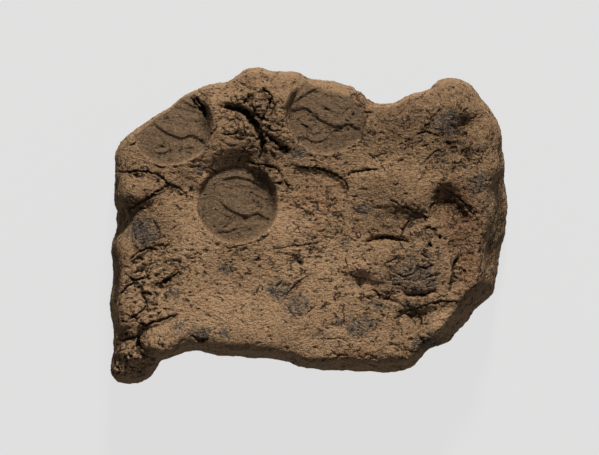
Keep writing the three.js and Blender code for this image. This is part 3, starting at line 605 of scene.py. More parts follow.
@dataclass(frozen=True)
class Weathering:
    """Sizes of the cracks, pits and grain of the clay, in millimetres, and shares of what they cover."""

    crack_wander: float = 0.2
    pit_share: float = 0.62
    pit_size: float = 0.9
    pit_depth: float = 0.36
    pinhole_size: float = 0.55
    pinhole_depth: float = 0.26
    crumb_size: float = 2.7
    crumb_gap_depth: float = 0.7
    crumb_lift: float = 0.6
    seam_share: float = 0.46
    seam_size: float = 2.6
    fine_seam_size: float = 1.25
    hairline_depth: float = 0.3
    lump_rise: float = 0.34
    ripple_rise: float = 0.26
    torn_ripples: float = 4.2
    grain_rise: float = 0.24
    wall_rise: float = 0.7
    fray: float = 0.5

    def field(self, desk: NodeDesk, name: str) -> bpy.types.NodeSocket:
        """Returns a named number of the mesh as a field."""
        return desk.add("GeometryNodeInputNamedAttribute", {"Name": name}, data_type="FLOAT")

    def bend(self, desk: NodeDesk, place: Plug, scale: float, reach: float) -> bpy.types.NodeSocket:
        """Shifts a place by a cloudy amount, so that lines drawn with it wander."""
        shift = desk.vector("SUBTRACT", desk.noise(place, scale, 3.0, 0.6, outlet=1), (0.5, 0.5, 0.5))
        return desk.vector("ADD", place, desk.scaled(shift, reach))

    def crack_profile(self, desk: NodeDesk, place: Plug, lines: Plug) -> bpy.types.NodeSocket:
        """Builds the depth of the drawn cracks, with wandering edges, in millimetres."""
        flat = desk.stretched(place, (1.0, 1.0, 0.0))
        strayed = self.bend(desk, self.bend(desk, flat, 1.2, 4.0 * self.crack_wander), 4.0, self.crack_wander)
        on_floor = desk.scaled(desk.stretched(strayed, (1.0, 1.0, 0.0)), MM)
        away = desk.add("GeometryNodeProximity", {0: lines, "Sample Position": on_floor}, outlet="Distance",
                        target_element="EDGES")
        nearest = desk.add("GeometryNodeSampleNearest", {"Geometry": lines, "Sample Position": on_floor},
                           domain="POINT")

        def of_line(name: str) -> bpy.types.NodeSocket:
            """Reads a number of the nearest crack point."""
            plugs = {"Geometry": lines, "Value": self.field(desk, name), "Index": nearest}
            return desk.add("GeometryNodeSampleIndex", plugs, data_type="FLOAT", domain="POINT")

        swelling = desk.step(desk.noise(place, 1.1, 3.0, 0.6), 0.32, 0.68, 0.3, 1.5)
        width = desk.math("MULTIPLY", of_line("half_width"), swelling)
        share = desk.math("DIVIDE", desk.math("DIVIDE", away, MM), width)
        return desk.math("MULTIPLY", of_line("depth"), desk.step(share, 0.3, 1.1, 1.0, 0.0))

    def pits(self, desk: NodeDesk, place: Plug, size: float, stretch: float, share: Plug,
             depth: float) -> bpy.types.NodeSocket:
        """Builds pits drawn out along X.

        Args:
            desk: Where the nodes go.
            place: Place in millimetres.
            size: Spacing of the pits across their length.
            stretch: How many times longer than wide they are.
            share: Share of the places that hold a pit.
            depth: Depth of the deepest.

        Returns:
            The depth, in millimetres.
        """
        squeezed = desk.stretched(self.bend(desk, place, 0.9, 1.8 * size), (1.0 / stretch, 1.0, 1.0))
        away = desk.cells(squeezed, 1.0 / size)
        luck = desk.add("FunctionNodeSeparateColor", {0: desk.cells(squeezed, 1.0 / size, "Color")})
        present = desk.math("LESS_THAN", luck, share)
        reach = desk.math("MULTIPLY_ADD", luck, 0.3, 0.2)
        inside = desk.step(desk.math("DIVIDE", away, reach), 0.5, 1.0, depth, 0.0)
        return desk.math("MULTIPLY", inside, present)

    def hairlines(self, desk: NodeDesk, place: Plug, size: float, half_width: float, share: Plug,
                  depth: Plug) -> bpy.types.NodeSocket:
        """Builds short cracks, most of them along X, where some of the clay's seams have opened.

        Args:
            desk: Where the nodes go.
            place: Place in millimetres.
            size: Spacing of the seams across X.
            half_width: Half width of a crack.
            share: Share of the seams that are open.
            depth: Depth of the cracks.

        Returns:
            The depth, in millimetres.
        """
        squeezed = desk.stretched(self.bend(desk, place, 0.7 / size, 1.1 * size), (0.5, 1.0, 0.8))
        seam = desk.seams(squeezed, size)
        openness = desk.noise(desk.vector("ADD", place, (31.0, 17.0, 9.0)), 1.0 / size, 3.0, 0.6)
        shut = desk.math("SUBTRACT", 0.76, desk.math("MULTIPLY", share, 0.4))
        is_open = desk.step(openness, shut, desk.math("ADD", shut, 0.05))
        profile = desk.step(seam, 0.3 * half_width / size, 1.1 * half_width / size, 1.0, 0.0)
        return desk.product(profile, is_open, depth)

    def ground(self, desk: NodeDesk) -> Ground:
        """Reads the place and the marks of the surface."""
        place = desk.scaled(desk.add("GeometryNodeInputPosition"), 1.0 / MM)
        top, pressed = self.field(desk, "top"), self.field(desk, "pressed")
        zones = (Zone.SMOOTH, Zone.CRUMBLE, Zone.TORN)
        smooth, crumble, torn = (self.field(desk, zone.value) for zone in zones)
        rough = desk.math("SUBTRACT", 1.0, desk.math("MULTIPLY", smooth, 0.6), clamp=True)
        rough = desk.product(rough, desk.step(pressed, 0.0, 1.0, 1.0, 0.7),
                             desk.math("MULTIPLY_ADD", top, 0.45, 0.55))
        return Ground(place, top, pressed, crumble, torn, desk.math("SUBTRACT", 1.0, top), rough)

    def sunken(self, desk: NodeDesk, ground: Ground, lines: Plug, pit_share: Plug, seam_share: Plug) -> Plug:
        """Builds how deep the cracks, pits and hairlines are, in millimetres.

        Args:
            desk: Where the nodes go.
            ground: The surface.
            lines: The drawn cracks.
            pit_share: Share of the places that hold a pit.
            seam_share: Share of the clay's seams that are open.

        Returns:
            The depth, in millimetres.
        """
        pits = desk.product(pit_share, desk.math("MULTIPLY_ADD", ground.crumble, 0.3, ground.rough))
        seams = desk.product(seam_share, desk.math("MULTIPLY_ADD", ground.crumble, 0.15, ground.rough))
        beside = desk.vector("ADD", ground.place, (7.3, 3.1, 5.7))
        beyond = desk.vector("ADD", ground.place, (3.7, 8.1, 2.2))
        return desk.total([
            desk.product(self.crack_profile(desk, ground.place, lines), ground.top),
            self.pits(desk, ground.place, self.pit_size, 2.4, pits, self.pit_depth),
            self.pits(desk, beside, self.pinhole_size, 1.6, pits, self.pinhole_depth),
            self.hairlines(desk, ground.place, self.seam_size, 0.16, seams, 1.3 * self.hairline_depth),
            self.hairlines(desk, beyond, self.fine_seam_size, 0.13, seams, self.hairline_depth),
        ])

    def crumbs(self, desk: NodeDesk, ground: Ground) -> tuple[Plug, Plug]:
        """Breaks crumbly ground up.

        Args:
            desk: Where the nodes go.
            ground: The surface.

        Returns:
            The depth of the gaps between the crumbs and the rise of each crumb, in millimetres.
        """
        strayed = self.bend(desk, desk.stretched(ground.place, (0.8, 1.0, 0.8)), 0.7, 1.0)
        edge = desk.seams(strayed, self.crumb_size)
        luck = desk.add("FunctionNodeSeparateColor", {0: desk.cells(strayed, 1.0 / self.crumb_size, "Color")})
        crumbly = desk.step(ground.crumble, 0.2, 0.8)
        is_open = desk.step(desk.noise(ground.place, 0.55, 3.0), 0.46, 0.53)
        gaps = desk.product(desk.step(edge, 0.01, 0.07, self.crumb_gap_depth, 0.0), is_open, crumbly)
        lift = desk.product(desk.around_zero(luck), desk.step(edge, 0.0, 0.1, 0.0, self.crumb_lift), crumbly)
        return gaps, lift

    def risen(self, desk: NodeDesk, ground: Ground) -> Plug:
        """Builds the lumps, ripples and grain of the face and the bulges of the walls, in millimetres."""

        def waves(stretch: Triple, scale: float, detail: float, roughness: float) -> bpy.types.NodeSocket:
            """Builds noise around 0 of one size."""
            stretched = desk.stretched(ground.place, stretch)
            return desk.around_zero(desk.noise(stretched, scale, detail, roughness))

        lumps = desk.math("MULTIPLY_ADD", ground.crumble, 2.0 * self.lump_rise, self.lump_rise)
        ripples = desk.product(self.ripple_rise, desk.math("MULTIPLY_ADD", ground.torn, self.torn_ripples,
                                                           ground.rough))
        return desk.total([
            desk.product(waves((1.0, 1.0, 1.0), 0.42, 2.0, 0.55), lumps),
            desk.product(waves((0.45, 1.35, 1.0), 1.0, 4.0, 0.62), ripples),
            desk.product(waves((0.7, 1.2, 1.0), 1.9, 4.0, 0.7), ground.rough, self.grain_rise),
            desk.product(waves((1.0, 1.0, 0.75), 0.24, 3.0, 0.5), ground.side, self.wall_rise),
            desk.product(waves((1.0, 1.0, 1.0), 1.1, 4.0, 0.6), ground.side, self.fray),
        ])

    def tree(self, material: bpy.types.Material) -> bpy.types.NodeTree:
        """Builds the tree that weathers the surface.

        Args:
            material: The clay, set at the end of the tree.

        Returns:
            The tree, with the lump and the crack lines as inputs.
        """
        group = bpy.data.node_groups.new("weathered clay", "GeometryNodeTree")
        face = group.interface
        face.new_socket(name="Lump", in_out="INPUT", socket_type="NodeSocketGeometry")
        face.new_socket(name="Crack lines", in_out="INPUT", socket_type="NodeSocketObject")
        for name, value in (("Pit share", self.pit_share), ("Seam share", self.seam_share), ("Grain", 1.0)):
            face.new_socket(name=name, in_out="INPUT", socket_type="NodeSocketFloat").default_value = value
        face.new_socket(name="Lump", in_out="OUTPUT", socket_type="NodeSocketGeometry")
        desk = NodeDesk(group)
        start = group.nodes.new("NodeGroupInput").outputs
        lines = desk.add("GeometryNodeObjectInfo", {"Object": start["Crack lines"]}, outlet="Geometry")
        ground = self.ground(desk)
        gaps, lift = self.crumbs(desk, ground)
        depths = self.sunken(desk, ground, lines, start["Pit share"], start["Seam share"])
        sunk = desk.math("ADD", gaps, depths)
        rise = desk.product(desk.math("ADD", lift, self.risen(desk, ground)), start["Grain"],
                            desk.step(ground.pressed, 0.0, 1.0, 1.0, 0.75))

        outwards = {0: desk.math("MULTIPLY", ground.top, 0.6), 4: desk.add("GeometryNodeInputNormal"),
                    5: (0.0, 0.0, 1.0)}
        out = desk.vector("NORMALIZE", desk.add("ShaderNodeMix", outwards, outlet=1, data_type="VECTOR"))
        height = desk.product(desk.math("SUBTRACT", rise, sunk), MM, self.field(desk, "free"))
        offset = desk.scaled(out, height)
        moved = desk.add("GeometryNodeSetPosition", {"Geometry": start["Lump"], "Offset": offset})
        # How deep the cut cracks, pits and crumb gaps are, kept for the painted shade that the clay puts in
        # them.
        hollow = {"Geometry": moved, "Name": "hollow", "Value": desk.math("MULTIPLY", sunk, 1.7, clamp=True)}
        kept = desk.add("GeometryNodeStoreNamedAttribute", hollow, data_type="FLOAT", domain="POINT")
        solid = desk.add("GeometryNodeRealizeInstances", {"Geometry": kept})
        dressed = desk.add("GeometryNodeSetMaterial", {"Geometry": solid, "Material": material})
        end = group.nodes.new("NodeGroupOutput")
        desk.join(end.inputs[0], dressed)
        return group


@dataclass(frozen=True)
class DustyClay:
    """The finish of the lump: matt brown clay with soot and red earth, with painted shade in its hollows and
    on some walls, and painted light on others. Colours are linear.
    """

    clay: Triple = (0.268, 0.164, 0.088)
    # Paler clay, also used as painted light on shaded walls and as painted highlights on the high grains.
    pale: Triple = (0.412, 0.262, 0.148)
    # Darker clay, also used as painted shade on slopes and hollows that face away from the light.
    dark: Triple = (0.097, 0.056, 0.028)
    compact: Triple = (0.058, 0.039, 0.023)
    soot: Triple = (0.04, 0.041, 0.04)
    earth: Triple = (0.19, 0.092, 0.044)
    # Near black: painted shade in cracks, pits, pinholes and low grains, and painted shadows on walls.
    hollow: Triple = (0.022, 0.013, 0.008)
    grit_depth: float = 0.6
    grit_share: float = 0.46
    fine_share: float = 0.6
    crack_width: float = 0.12
    crack_sizes: tuple[float, float] = (2.6, 1.5)
    speck_scale: float = 1.15

    def mark(self, desk: NodeDesk, name: str) -> bpy.types.NodeSocket:
        """Reads a named number of the mesh."""
        return desk.add("ShaderNodeAttribute", outlet="Fac", attribute_name=name)

    def mix(self, desk: NodeDesk, share: Plug, first: Plug, second: Plug) -> bpy.types.NodeSocket:
        """Mixes two colours."""
        ends = [value if isinstance(value, bpy.types.NodeSocket) else (*value, 1.0)
                for value in (first, second)]
        return desk.add("ShaderNodeMix", {0: share, 6: ends[0], 7: ends[1]}, outlet=2, data_type="RGBA")

    def spread(self, desk: NodeDesk, zone: Zone, ragged: Plug, raggedness: float, low: float,
               high: float) -> bpy.types.NodeSocket:
        """Frays the edge of a zone with noise.

        Args:
            desk: Where the nodes go.
            zone: The zone.
            ragged: Noise around 0.5.
            raggedness: How much of the noise is added to the zone's cover.
            low: Cover up to which the place is outside.
            high: Cover from which it is inside.

        Returns:
            How far each place is inside.
        """
        frayed = desk.math("MULTIPLY_ADD", desk.around_zero(ragged), raggedness, self.mark(desk, zone.value))
        return desk.step(frayed, low, high)

    def specks(self, desk: NodeDesk, place: Plug, share: Plug) -> bpy.types.NodeSocket:
        """Builds pinprick holes, 1 in a hole and 0 elsewhere, in the given share of the places."""
        strayed = desk.vector("ADD", place, desk.scaled(desk.noise(place, 1.6, 2.0, 0.6, outlet=1), 0.9))
        squeezed = desk.stretched(strayed, (0.6, 1.1, 1.0))
        luck = desk.add("ShaderNodeSeparateColor", {0: desk.cells(squeezed, self.speck_scale, "Color")})
        reach = desk.math("MULTIPLY_ADD", luck, 0.6, 0.12)
        away = desk.math("DIVIDE", desk.cells(squeezed, self.speck_scale), reach)
        hole = desk.step(away, 0.6, 1.0, 1.0, 0.0)
        return desk.math("MULTIPLY", hole, desk.math("LESS_THAN", luck, share))

    def crackle(self, desk: NodeDesk, place: Plug, size: float, share: Plug) -> bpy.types.NodeSocket:
        """Builds fine cracks, 1 in a crack and 0 elsewhere.

        Args:
            desk: Where the nodes go.
            place: Place in millimetres.
            size: Spacing of the clay's seams.
            share: Share of the seams that have cracked.

        Returns:
            How far each place is in a crack.
        """
        shift = desk.vector("SUBTRACT", desk.noise(place, 1.3 / size, 4.0, 0.6, outlet=1), (0.5, 0.5, 0.5))
        squeezed = desk.stretched(desk.vector("ADD", place, desk.scaled(shift, 1.2 * size)), (0.6, 1.0, 0.8))
        seam = desk.seams(squeezed, size)
        openness = desk.noise(desk.vector("ADD", place, (5.0, 13.0, 41.0)), 1.1 / size, 3.0, 0.6)
        shut = desk.math("SUBTRACT", 0.72, desk.math("MULTIPLY", share, 0.4))
        width = desk.step(openness, shut, desk.math("ADD", shut, 0.12), 0.0, self.crack_width / size)
        across = desk.math("DIVIDE", seam, desk.math("ADD", width, 0.0001))
        return desk.product(desk.step(across, 0.5, 1.0, 1.0, 0.0), desk.math("GREATER_THAN", openness, shut))

    def holes(self, desk: NodeDesk, place: Plug, pressed: Plug) -> bpy.types.NodeSocket:
        """Builds the pinprick holes and fine cracks, 1 in them and 0 elsewhere.

        Args:
            desk: Where the nodes go.
            place: Place in millimetres.
            pressed: How far each place is on a stamped floor.

        Returns:
            How far each place is in a hole or crack.
        """
        smooth, crumble = (self.mark(desk, zone.value) for zone in (Zone.SMOOTH, Zone.CRUMBLE))
        calm = desk.math("MULTIPLY_ADD", smooth, 0.6, desk.math("MULTIPLY", pressed, 0.35))
        broken = desk.math("SUBTRACT", desk.math("MULTIPLY_ADD", crumble, 0.16, 0.46),
                           desk.math("MULTIPLY", calm, 0.4))
        specks = self.specks(desk, place, desk.math("MULTIPLY", broken, 0.75))
        coarse, small = (self.crackle(desk, place, size, broken) for size in self.crack_sizes)
        return desk.math("MAXIMUM", specks, desk.math("MAXIMUM", coarse, small))

    def ground_colour(self, desk: NodeDesk, place: Plug, grit: Plug, pressed: Plug) -> Plug:
        """Lays the colours of the ground over one another, with painted light and painted shade among them.

        Args:
            desk: Where the nodes go.
            place: Place in millimetres.
            grit: Noise of the coarse grain.
            pressed: How far each place is on a stamped floor.

        Returns:
            The colour before grain and holes.
        """
        broad = desk.noise(place, 0.14, 4.0, 0.6)
        cloudy = desk.noise(place, 0.7, 5.0, 0.68)
        mottle = desk.noise(place, 1.5, 5.0, 0.75)
        flaky = desk.noise(place, 0.95, 6.0, 0.78)
        pale = self.spread(desk, Zone.PALE, cloudy, 1.6, 0.1, 1.1)
        dark = self.spread(desk, Zone.DARK, cloudy, 1.3, 0.0, 0.9)
        earth = self.spread(desk, Zone.EARTH, mottle, 1.4, 0.15, 0.9)
        soot = self.spread(desk, Zone.SOOT, flaky, 2.6, 0.36, 0.8)
        layers = (
            (desk.step(broad, 0.36, 0.66, 0.0, 0.28), self.dark),
            # Pale patches: partly paler clay, partly painted light.
            (desk.math("MULTIPLY", pale, 0.48), self.pale),
            # Dark patches: partly darker clay, partly painted shade.
            (desk.math("MULTIPLY", dark, 0.84), self.dark),
            # Painted light: the side walls, away from the top, are lightened towards pale.
            (desk.step(self.mark(desk, "top"), 0.0, 1.0, 0.8, 0.0), self.pale),
            (desk.math("MULTIPLY", earth, 0.65), self.earth),
            (desk.step(mottle, 0.5, 0.72, 0.0, 0.3), self.pale),
            (desk.step(mottle, 0.28, 0.5, 0.5, 0.0), self.dark),
            (desk.math("MULTIPLY", soot, desk.step(grit, 0.35, 0.65, 0.98, 0.6)), self.soot),
            (desk.math("MULTIPLY", pressed, 0.8), self.compact),
            # Painted light: pale patches stronger than 1 are lightened further.
            (desk.step(self.mark(desk, Zone.PALE.value), 1.0, 1.4, 0.0, 0.7), self.pale),
            # Painted shadow: dark patches stronger than 0.85 go towards near black.
            (desk.step(self.mark(desk, Zone.DARK.value), 0.85, 1.3, 0.0, 0.65), self.hollow),
        )
        colour: Plug = self.clay
        for share, layer in layers:
            colour = self.mix(desk, share, colour, layer)
        return colour

    def grain_shade_and_highlight(self, desk: NodeDesk, colour: Plug, pressed: Plug, grit: Plug, fine: Plug) -> Plug:
        """Paints shade into the low grains of the surface and painted highlights onto the high ones.

        Args:
            desk: Where the nodes go.
            colour: The colour of the ground.
            pressed: How far each place is on a stamped floor, where the grains are fainter.
            grit: Noise of the coarse grain.
            fine: Noise of the fine grain.

        Returns:
            The colour with the painted shade and highlights of its grain.
        """
        clear = desk.math("MULTIPLY_ADD", pressed, -0.5, 1.0)
        for grains, share in ((grit, self.grit_share), (fine, self.fine_share)):
            # Painted shade in the low grains and painted highlights on the high ones, from the same noise
            # that the bump raises.
            low = desk.product(desk.step(grains, 0.33, 0.46, share, 0.0), clear)
            high = desk.product(desk.step(grains, 0.54, 0.66, 0.0, 0.8 * share), clear)
            colour = self.mix(desk, high, self.mix(desk, low, colour, self.hollow), self.pale)
        return colour

    def material(self) -> bpy.types.Material:
        """Builds the material."""
        material = bpy.data.materials.new("dusty clay")
        material.use_nodes = True
        tree = material.node_tree
        tree.nodes.clear()
        desk = NodeDesk(tree)
        place = desk.scaled(desk.add("ShaderNodeTexCoord", outlet="Object"), 1.0 / MM)
        grit = desk.noise(desk.stretched(place, (0.75, 1.15, 1.0)), 2.6, 2.0, 0.6)
        fine = desk.noise(place, 5.4, 2.0, 0.6)
        pressed = self.mark(desk, "pressed")
        holes = self.holes(desk, place, pressed)
        colour = self.grain_shade_and_highlight(desk, self.ground_colour(desk, place, grit, pressed), pressed, grit, fine)
        # Painted shade: the pinholes and fine cracks, and the cut cracks, pits and gaps by their depth, are
        # darkened towards near black.
        for depth in (holes, self.mark(desk, "hollow")):
            colour = self.mix(desk, desk.math("MULTIPLY", depth, 0.9), colour, self.hollow)

        relief = desk.math("MULTIPLY_ADD", fine, 0.45, desk.math("MULTIPLY", grit, 0.8))
        relief = desk.product(relief, desk.step(pressed, 0.0, 1.0, 1.0, 0.6))
        relief = desk.math("SUBTRACT", relief, desk.math("MULTIPLY", holes, 0.6))
        raised = {"Strength": 1.0, "Distance": self.grit_depth * MM, "Height": relief}
        shader = tree.nodes.new("ShaderNodeBsdfPrincipled")
        desk.join(shader.inputs["Base Color"], colour)
        desk.join(shader.inputs["Roughness"], desk.step(grit, 0.2, 0.8, 0.98, 0.84))
        desk.join(shader.inputs["Normal"], desk.add("ShaderNodeBump", raised, outlet="Normal"))
        shader.inputs["Specular IOR Level"].default_value = 0.2
        end = tree.nodes.new("ShaderNodeOutputMaterial")
        desk.join(end.inputs["Surface"], shader.outputs[0])
        return material


@dataclass
class CrackLines:
    """The cracks as thin lines on the floor plane, which the weathering reads."""

    groups: Sequence[Cracks] = CRACKS
    step: float = 0.3

    def build(self) -> bpy.types.Object:
        """Returns an object of loose edges with a half width and a depth at each point."""
        places: list[Triple] = []
        edges: list[tuple[int, int]] = []
        widths: list[float] = []
        depths: list[float] = []
        for group in self.groups:
            for path in group.paths:
                lengths = [math.dist(a, b) for a, b in zip(path, path[1:])]
                marks = np.concatenate(([0.0], np.cumsum(lengths)))
                count = max(3, round(marks[-1] / self.step))
                along = np.linspace(0.0, marks[-1], count)
                first = len(places)
                for mark in along:
                    x, y = (float(np.interp(mark, marks, [place[k] for place in path])) for k in (0, 1))
                    thin = min(1.0, 0.35 + 2.2 * min(mark, marks[-1] - mark) / marks[-1])
                    places.append((x * MM, y * MM, 0.0))
                    widths.append(group.width * thin)
                    depths.append(group.depth * thin)
                edges += [(first + i, first + i + 1) for i in range(count - 1)]
        mesh = bpy.data.meshes.new("crack_lines")
        mesh.from_pydata(places, edges, [])
        for name, values in (("half_width", widths), ("depth", depths)):
            mesh.attributes.new(name, "FLOAT", "POINT").data.foreach_set("value", values)
        lines = bpy.data.objects.new("crack_lines", mesh)
        bpy.context.scene.collection.objects.link(lines)
        return lines


@dataclass
class Lump:
    """The lump of clay: the frame's own form, made fine, stamped crisply and weathered.

    Lengths are in millimetres. Only what lies higher than the face height is stamped. Beyond its rim an
    impression's ground goes on with the slope of the face, within the two limits.
    """

    node: str = "bulla"
    levels: int = 3
    face_height: float = 10.0
    floor_share: float = 0.82
    fall_limit: float = -0.45
    rise_limit: float = 0.95
    rim_reach: float = 1.6
    ring_step: float = 0.8
    lip_rise: float = 0.12
    foot_height: float = 0.6
    weathering: Weathering = Weathering()
    finish: DustyClay = DustyClay()

    def fine_copy(self) -> bpy.types.Object:
        """Returns a smooth, finely divided copy of the node."""
        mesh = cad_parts[self.node].data.copy()
        mesh.materials.clear()
        shell = bmesh.new()
        shell.from_mesh(mesh)
        bmesh.ops.remove_doubles(shell, verts=shell.verts, dist=0.002 * MM)
        shell.to_mesh(mesh)
        shell.free()
        lump = bpy.data.objects.new("bulla_clay", mesh)
        bpy.context.scene.collection.objects.link(lump)
        smoother = lump.modifiers.new("fine", "SUBSURF")
        smoother.levels = smoother.render_levels = self.levels
        self.bake(lump)
        return lump

    def bake(self, lump: bpy.types.Object) -> None:
        """Replaces the object's mesh by the result of its modifiers and removes them."""
        result = bpy.data.meshes.new_from_object(lump.evaluated_get(bpy.context.evaluated_depsgraph_get()))
        lump.modifiers.clear()
        lump.data = result

    def press(self, mesh: bpy.types.Mesh) -> None:
        """Recuts the impressions crisply and writes the attributes that the weathering reads."""
        count = len(mesh.vertices)
        places = np.empty(3 * count)
        mesh.vertices.foreach_get("co", places)
        normals = np.empty(3 * count)
        mesh.vertex_normals.foreach_get("vector", normals)
        places = places.reshape(-1, 3) / MM
        upness = normals.reshape(-1, 3)[:, 2]
        x, y, z = places.T
        pressed = np.zeros(count)
        z += sum(swell.height(x, y) for swell in SWELLS) * ease(z, 6.0, 12.0) * ease(upness, -0.1, 0.4)
        for impression in IMPRESSIONS:
            z, inside = self.stamp(impression, x, y, z, upness)
            pressed = np.maximum(pressed, inside)
        places[:, 2] = z
        mesh.vertices.foreach_set("co", (places * MM).ravel())
        values = {
            "top": ease(upness, 0.05, 0.5) * ease(z, 6.0, 8.5),
            "pressed": pressed,
            "free": ease(z, 0.05, self.foot_height),
        }
        for zone, patches in PATCHES.items():
            cover = np.zeros(count)
            for patch in patches:
                cover = np.maximum(cover, patch.cover(x, y))
            values[zone.value] = cover * ease(z, 2.0, 9.0)
        for name, numbers in values.items():
            mesh.attributes.new(name, "FLOAT", "POINT").data.foreach_set("value", numbers)

    def stamp(self, impression: Impression, x: np.ndarray, y: np.ndarray, z: np.ndarray,
              upness: np.ndarray) -> tuple[np.ndarray, np.ndarray]:
        """Recuts one impression.

        Args:
            impression: The impression.
            x: First coordinates of the vertices.
            y: Second coordinates.
            z: Heights.
            upness: How far each vertex looks up, from -1 to 1.

        Returns:
            The new heights, and how far each vertex is on the stamped floor.
        """
        dx, dy = x - impression.at[0], y - impression.at[1]
        away = np.hypot(dx, dy)
        plane = self.fit_floor(dx, dy, z, (away < self.floor_share * STAMP_RADIUS) & (upness > 0.5))
        floor = soft_minimum(plane, z + 0.3 * ease(z, self.face_height, self.face_height + 5.0), 6.0)
        angle = np.arctan2(dy, dx)
        edge = STAMP_RADIUS + self.rim_reach
        inner, met = self.ring_height(away, angle, z, upness, edge)
        beyond, _ = self.ring_height(away, angle, z, upness, edge + self.ring_step)
        slope = np.clip((beyond - inner) / self.ring_step, self.fall_limit, self.rise_limit)
        outer = inner + slope * (away - edge)
        outer = floor + (outer - floor) * met
        tall = np.clip(outer - floor, 0.0, 3.0)
        lip = np.exp(-(((away - STAMP_RADIUS - 0.5) / 0.45) ** 2))
        outer += self.lip_rise * np.clip(tall, 0.0, 1.0) * lip
        outer += (z - outer) * ease(away, edge - 0.6, edge)
        close = away < STAMP_RADIUS
        figure = np.zeros(x.shape)
        figure[close] = sum(stroke.height(dx[close], dy[close]) for stroke in FIGURE)
        left = 1.0 - impression.wear * ease(-dx, 1.8, 3.0)
        figure *= left * ease(-away, -STAMP_RADIUS, -0.9 * STAMP_RADIUS)
        deep = 0.5 + 0.5 * np.cos(angle - math.radians(impression.deep_side))
        fillet = FILLET_SHARE * tall * deep * ease(away, STAMP_RADIUS - FILLET_WIDTH, STAMP_RADIUS)
        bottom = floor + fillet + figure
        wobble = 0.05 * np.sin(5.0 * angle + 1.0) + 0.03 * np.sin(11.0 * angle)
        width = WALL_WIDTH + WALL_FLARE * tall * (0.3 + 0.7 * deep)
        wall = ease((away + wobble - STAMP_RADIUS) / width, -0.25, 0.85)
        rise = outer - bottom
        cut = bottom + rise * np.where(rise > 0.0, wall, ease(away, STAMP_RADIUS - 0.5, edge))
        near = (away < edge) & (upness > -0.2) & (z > self.face_height)
        inside = (1.0 - wall) * ease(z - plane, -1.6, -0.8)
        return np.where(near, cut, z), np.where(near, inside, 0.0)

    def fit_floor(self, dx: np.ndarray, dy: np.ndarray, z: np.ndarray, inside: np.ndarray) -> np.ndarray:
        """Fits the flat floor of an impression to the vertices on it and returns its height everywhere."""
        kept = inside
        for _ in range(6):
            terms = np.column_stack((dx[kept], dy[kept], np.ones(int(kept.sum()))))
            tilt, *_ = np.linalg.lstsq(terms, z[kept], rcond=None)
            floor = tilt[0] * dx + tilt[1] * dy + tilt[2]
            kept = inside & (np.abs(z - floor) < 0.1)
        return floor

    def ring_height(self, away: np.ndarray, angle: np.ndarray, z: np.ndarray, upness: np.ndarray,
                    radius: float) -> tuple[np.ndarray, np.ndarray]:
        """Reads the face on a ring round an impression.

        Args:
            away: Distance of each vertex from the middle of the impression.
            angle: Its direction from there.
            z: Its height.
            upness: How far it looks up, from -1 to 1.
            radius: Radius of the ring.

        Returns:
            The height of the ring in the direction of each vertex, and 0 where the ring has left the face.
        """
        chosen = (np.abs(away - radius) < 0.2) & (upness > 0.45)
        order = np.argsort(angle[chosen])
        turns = angle[chosen][order]
        smooth = np.convolve(np.pad(z[chosen][order], 4, mode="wrap"), np.ones(9) / 9.0, mode="valid")
        counts, marks = np.histogram(turns, bins=72, range=(-math.pi, math.pi))
        met = np.convolve(np.pad(np.minimum(counts, 1), 2, mode="wrap"), np.ones(5) / 5.0, mode="valid")
        middles = 0.5 * (marks[:-1] + marks[1:])
        turn = 2.0 * math.pi
        return np.interp(angle, turns, smooth, period=turn), np.interp(angle, middles, met, period=turn)

    def build(self) -> bpy.types.Object:
        """Makes the finished lump."""
        lump = self.fine_copy()
        self.press(lump.data)
        material = self.finish.material()
        lines = CrackLines().build()
        tree = self.weathering.tree(material)
        weather = lump.modifiers.new("weather", "NODES")
        weather.node_group = tree
        sockets = {item.name: item.identifier for item in tree.interface.items_tree if item.in_out == "INPUT"}
        weather[sockets["Crack lines"]] = lines
        self.bake(lump)
        bpy.data.objects.remove(lines, do_unlink=True)
        self.thin(lump)
        lump.data.shade_smooth()
        lump.data.name = "bulla_clay"
        return lump

    def thin(self, lump: bpy.types.Object) -> None:
        """Brings the mesh under the triangle limit, keeping the most where the surface is rough."""
        triangles = sum(len(face.vertices) - 2 for face in lump.data.polygons)
        if triangles <= TRIANGLE_LIMIT:
            return
        thinner = lump.modifiers.new("thin", "DECIMATE")
        thinner.ratio = TRIANGLE_LIMIT / triangles
        thinner.use_collapse_triangulate = True
        self.bake(lump)


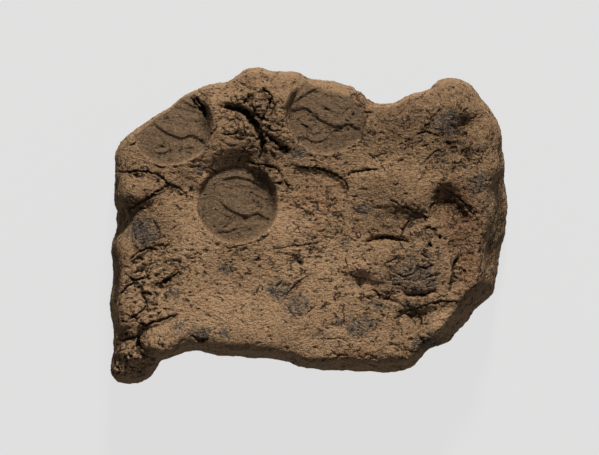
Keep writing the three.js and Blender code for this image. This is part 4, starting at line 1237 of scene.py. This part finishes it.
@dataclass
class Studio:
    """Pale floor, soft light and a camera that looks straight down, in millimetres."""

    middle: Place = (-1.48, -0.24)
    view_width: float = 95.84
    sharp_height: float = 4.5
    distance: float = 1400.0
    sensor: float = 36.0

    def build(self) -> None:
        """Makes the camera, the lights and the floor."""
        scene = bpy.context.scene
        scene.view_settings.view_transform = "Standard"
        lens = bpy.data.cameras.new("camera")
        lens.sensor_width = self.sensor
        lens.lens = self.sensor * self.distance / self.view_width
        lens.clip_end = 10.0
        camera = bpy.data.objects.new("camera", lens)
        camera.location = (self.middle[0] * MM, self.middle[1] * MM, (self.distance + self.sharp_height) * MM)
        scene.collection.objects.link(camera)
        scene.camera = camera
        self.lamp("key", (45.0, 713.0, 620.0), 110.0, 14.6, (1.0, 0.97, 0.92))
        self.lamp("fill", (300.0, -700.0, 800.0), 900.0, 1.2, (0.95, 0.97, 1.0))
        world = bpy.data.worlds.new("room")
        world.use_nodes = True
        world.node_tree.nodes["Background"].inputs["Color"].default_value = (1.0, 1.0, 1.0, 1.0)
        world.node_tree.nodes["Background"].inputs["Strength"].default_value = 0.15
        scene.world = world
        self.floor()

    def lamp(self, name: str, place: Triple, size: float, power: float,
             colour: Triple) -> None:
        """Adds a square lamp that faces the object."""
        light = bpy.data.lights.new(name, "AREA")
        light.size = size * MM
        light.energy = power
        light.color = colour
        lamp = bpy.data.objects.new(name, light)
        lamp.location = Vector(place) * MM
        lamp.rotation_euler = (-lamp.location).to_track_quat("-Z", "Y").to_euler()
        bpy.context.scene.collection.objects.link(lamp)

    def floor(self) -> bpy.types.Object:
        """Returns the pale floor, which glows faintly so that shadows on it stay light."""
        reach = 3.0
        mesh = bpy.data.meshes.new("floor")
        corners = [(-reach, -reach, 0.0), (reach, -reach, 0.0), (reach, reach, 0.0), (-reach, reach, 0.0)]
        mesh.from_pydata(corners, [], [(0, 1, 2, 3)])
        material = bpy.data.materials.new("pale floor")
        material.use_nodes = True
        shader = material.node_tree.nodes["Principled BSDF"]
        shader.inputs["Base Color"].default_value = (0.03, 0.03, 0.03, 1.0)
        shader.inputs["Roughness"].default_value = 1.0
        shader.inputs["Specular IOR Level"].default_value = 0.0
        shader.inputs["Emission Color"].default_value = (1.0, 1.0, 1.0, 1.0)
        shader.inputs["Emission Strength"].default_value = 0.71
        mesh.materials.append(material)
        floor = bpy.data.objects.new("floor", mesh)
        floor.visible_diffuse = False
        floor.visible_glossy = False
        bpy.context.scene.collection.objects.link(floor)
        return floor


def main() -> None:
    logging.basicConfig(level=logging.INFO, format="%(name)s: %(message)s")
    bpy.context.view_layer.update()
    Studio().build()
    lump = Lump().build()
    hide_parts("bulla")
    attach(lump, "root")
    LOG.info("%s: %d vertices", lump.name, len(lump.data.vertices))


if __name__ == "__main__":
    main()
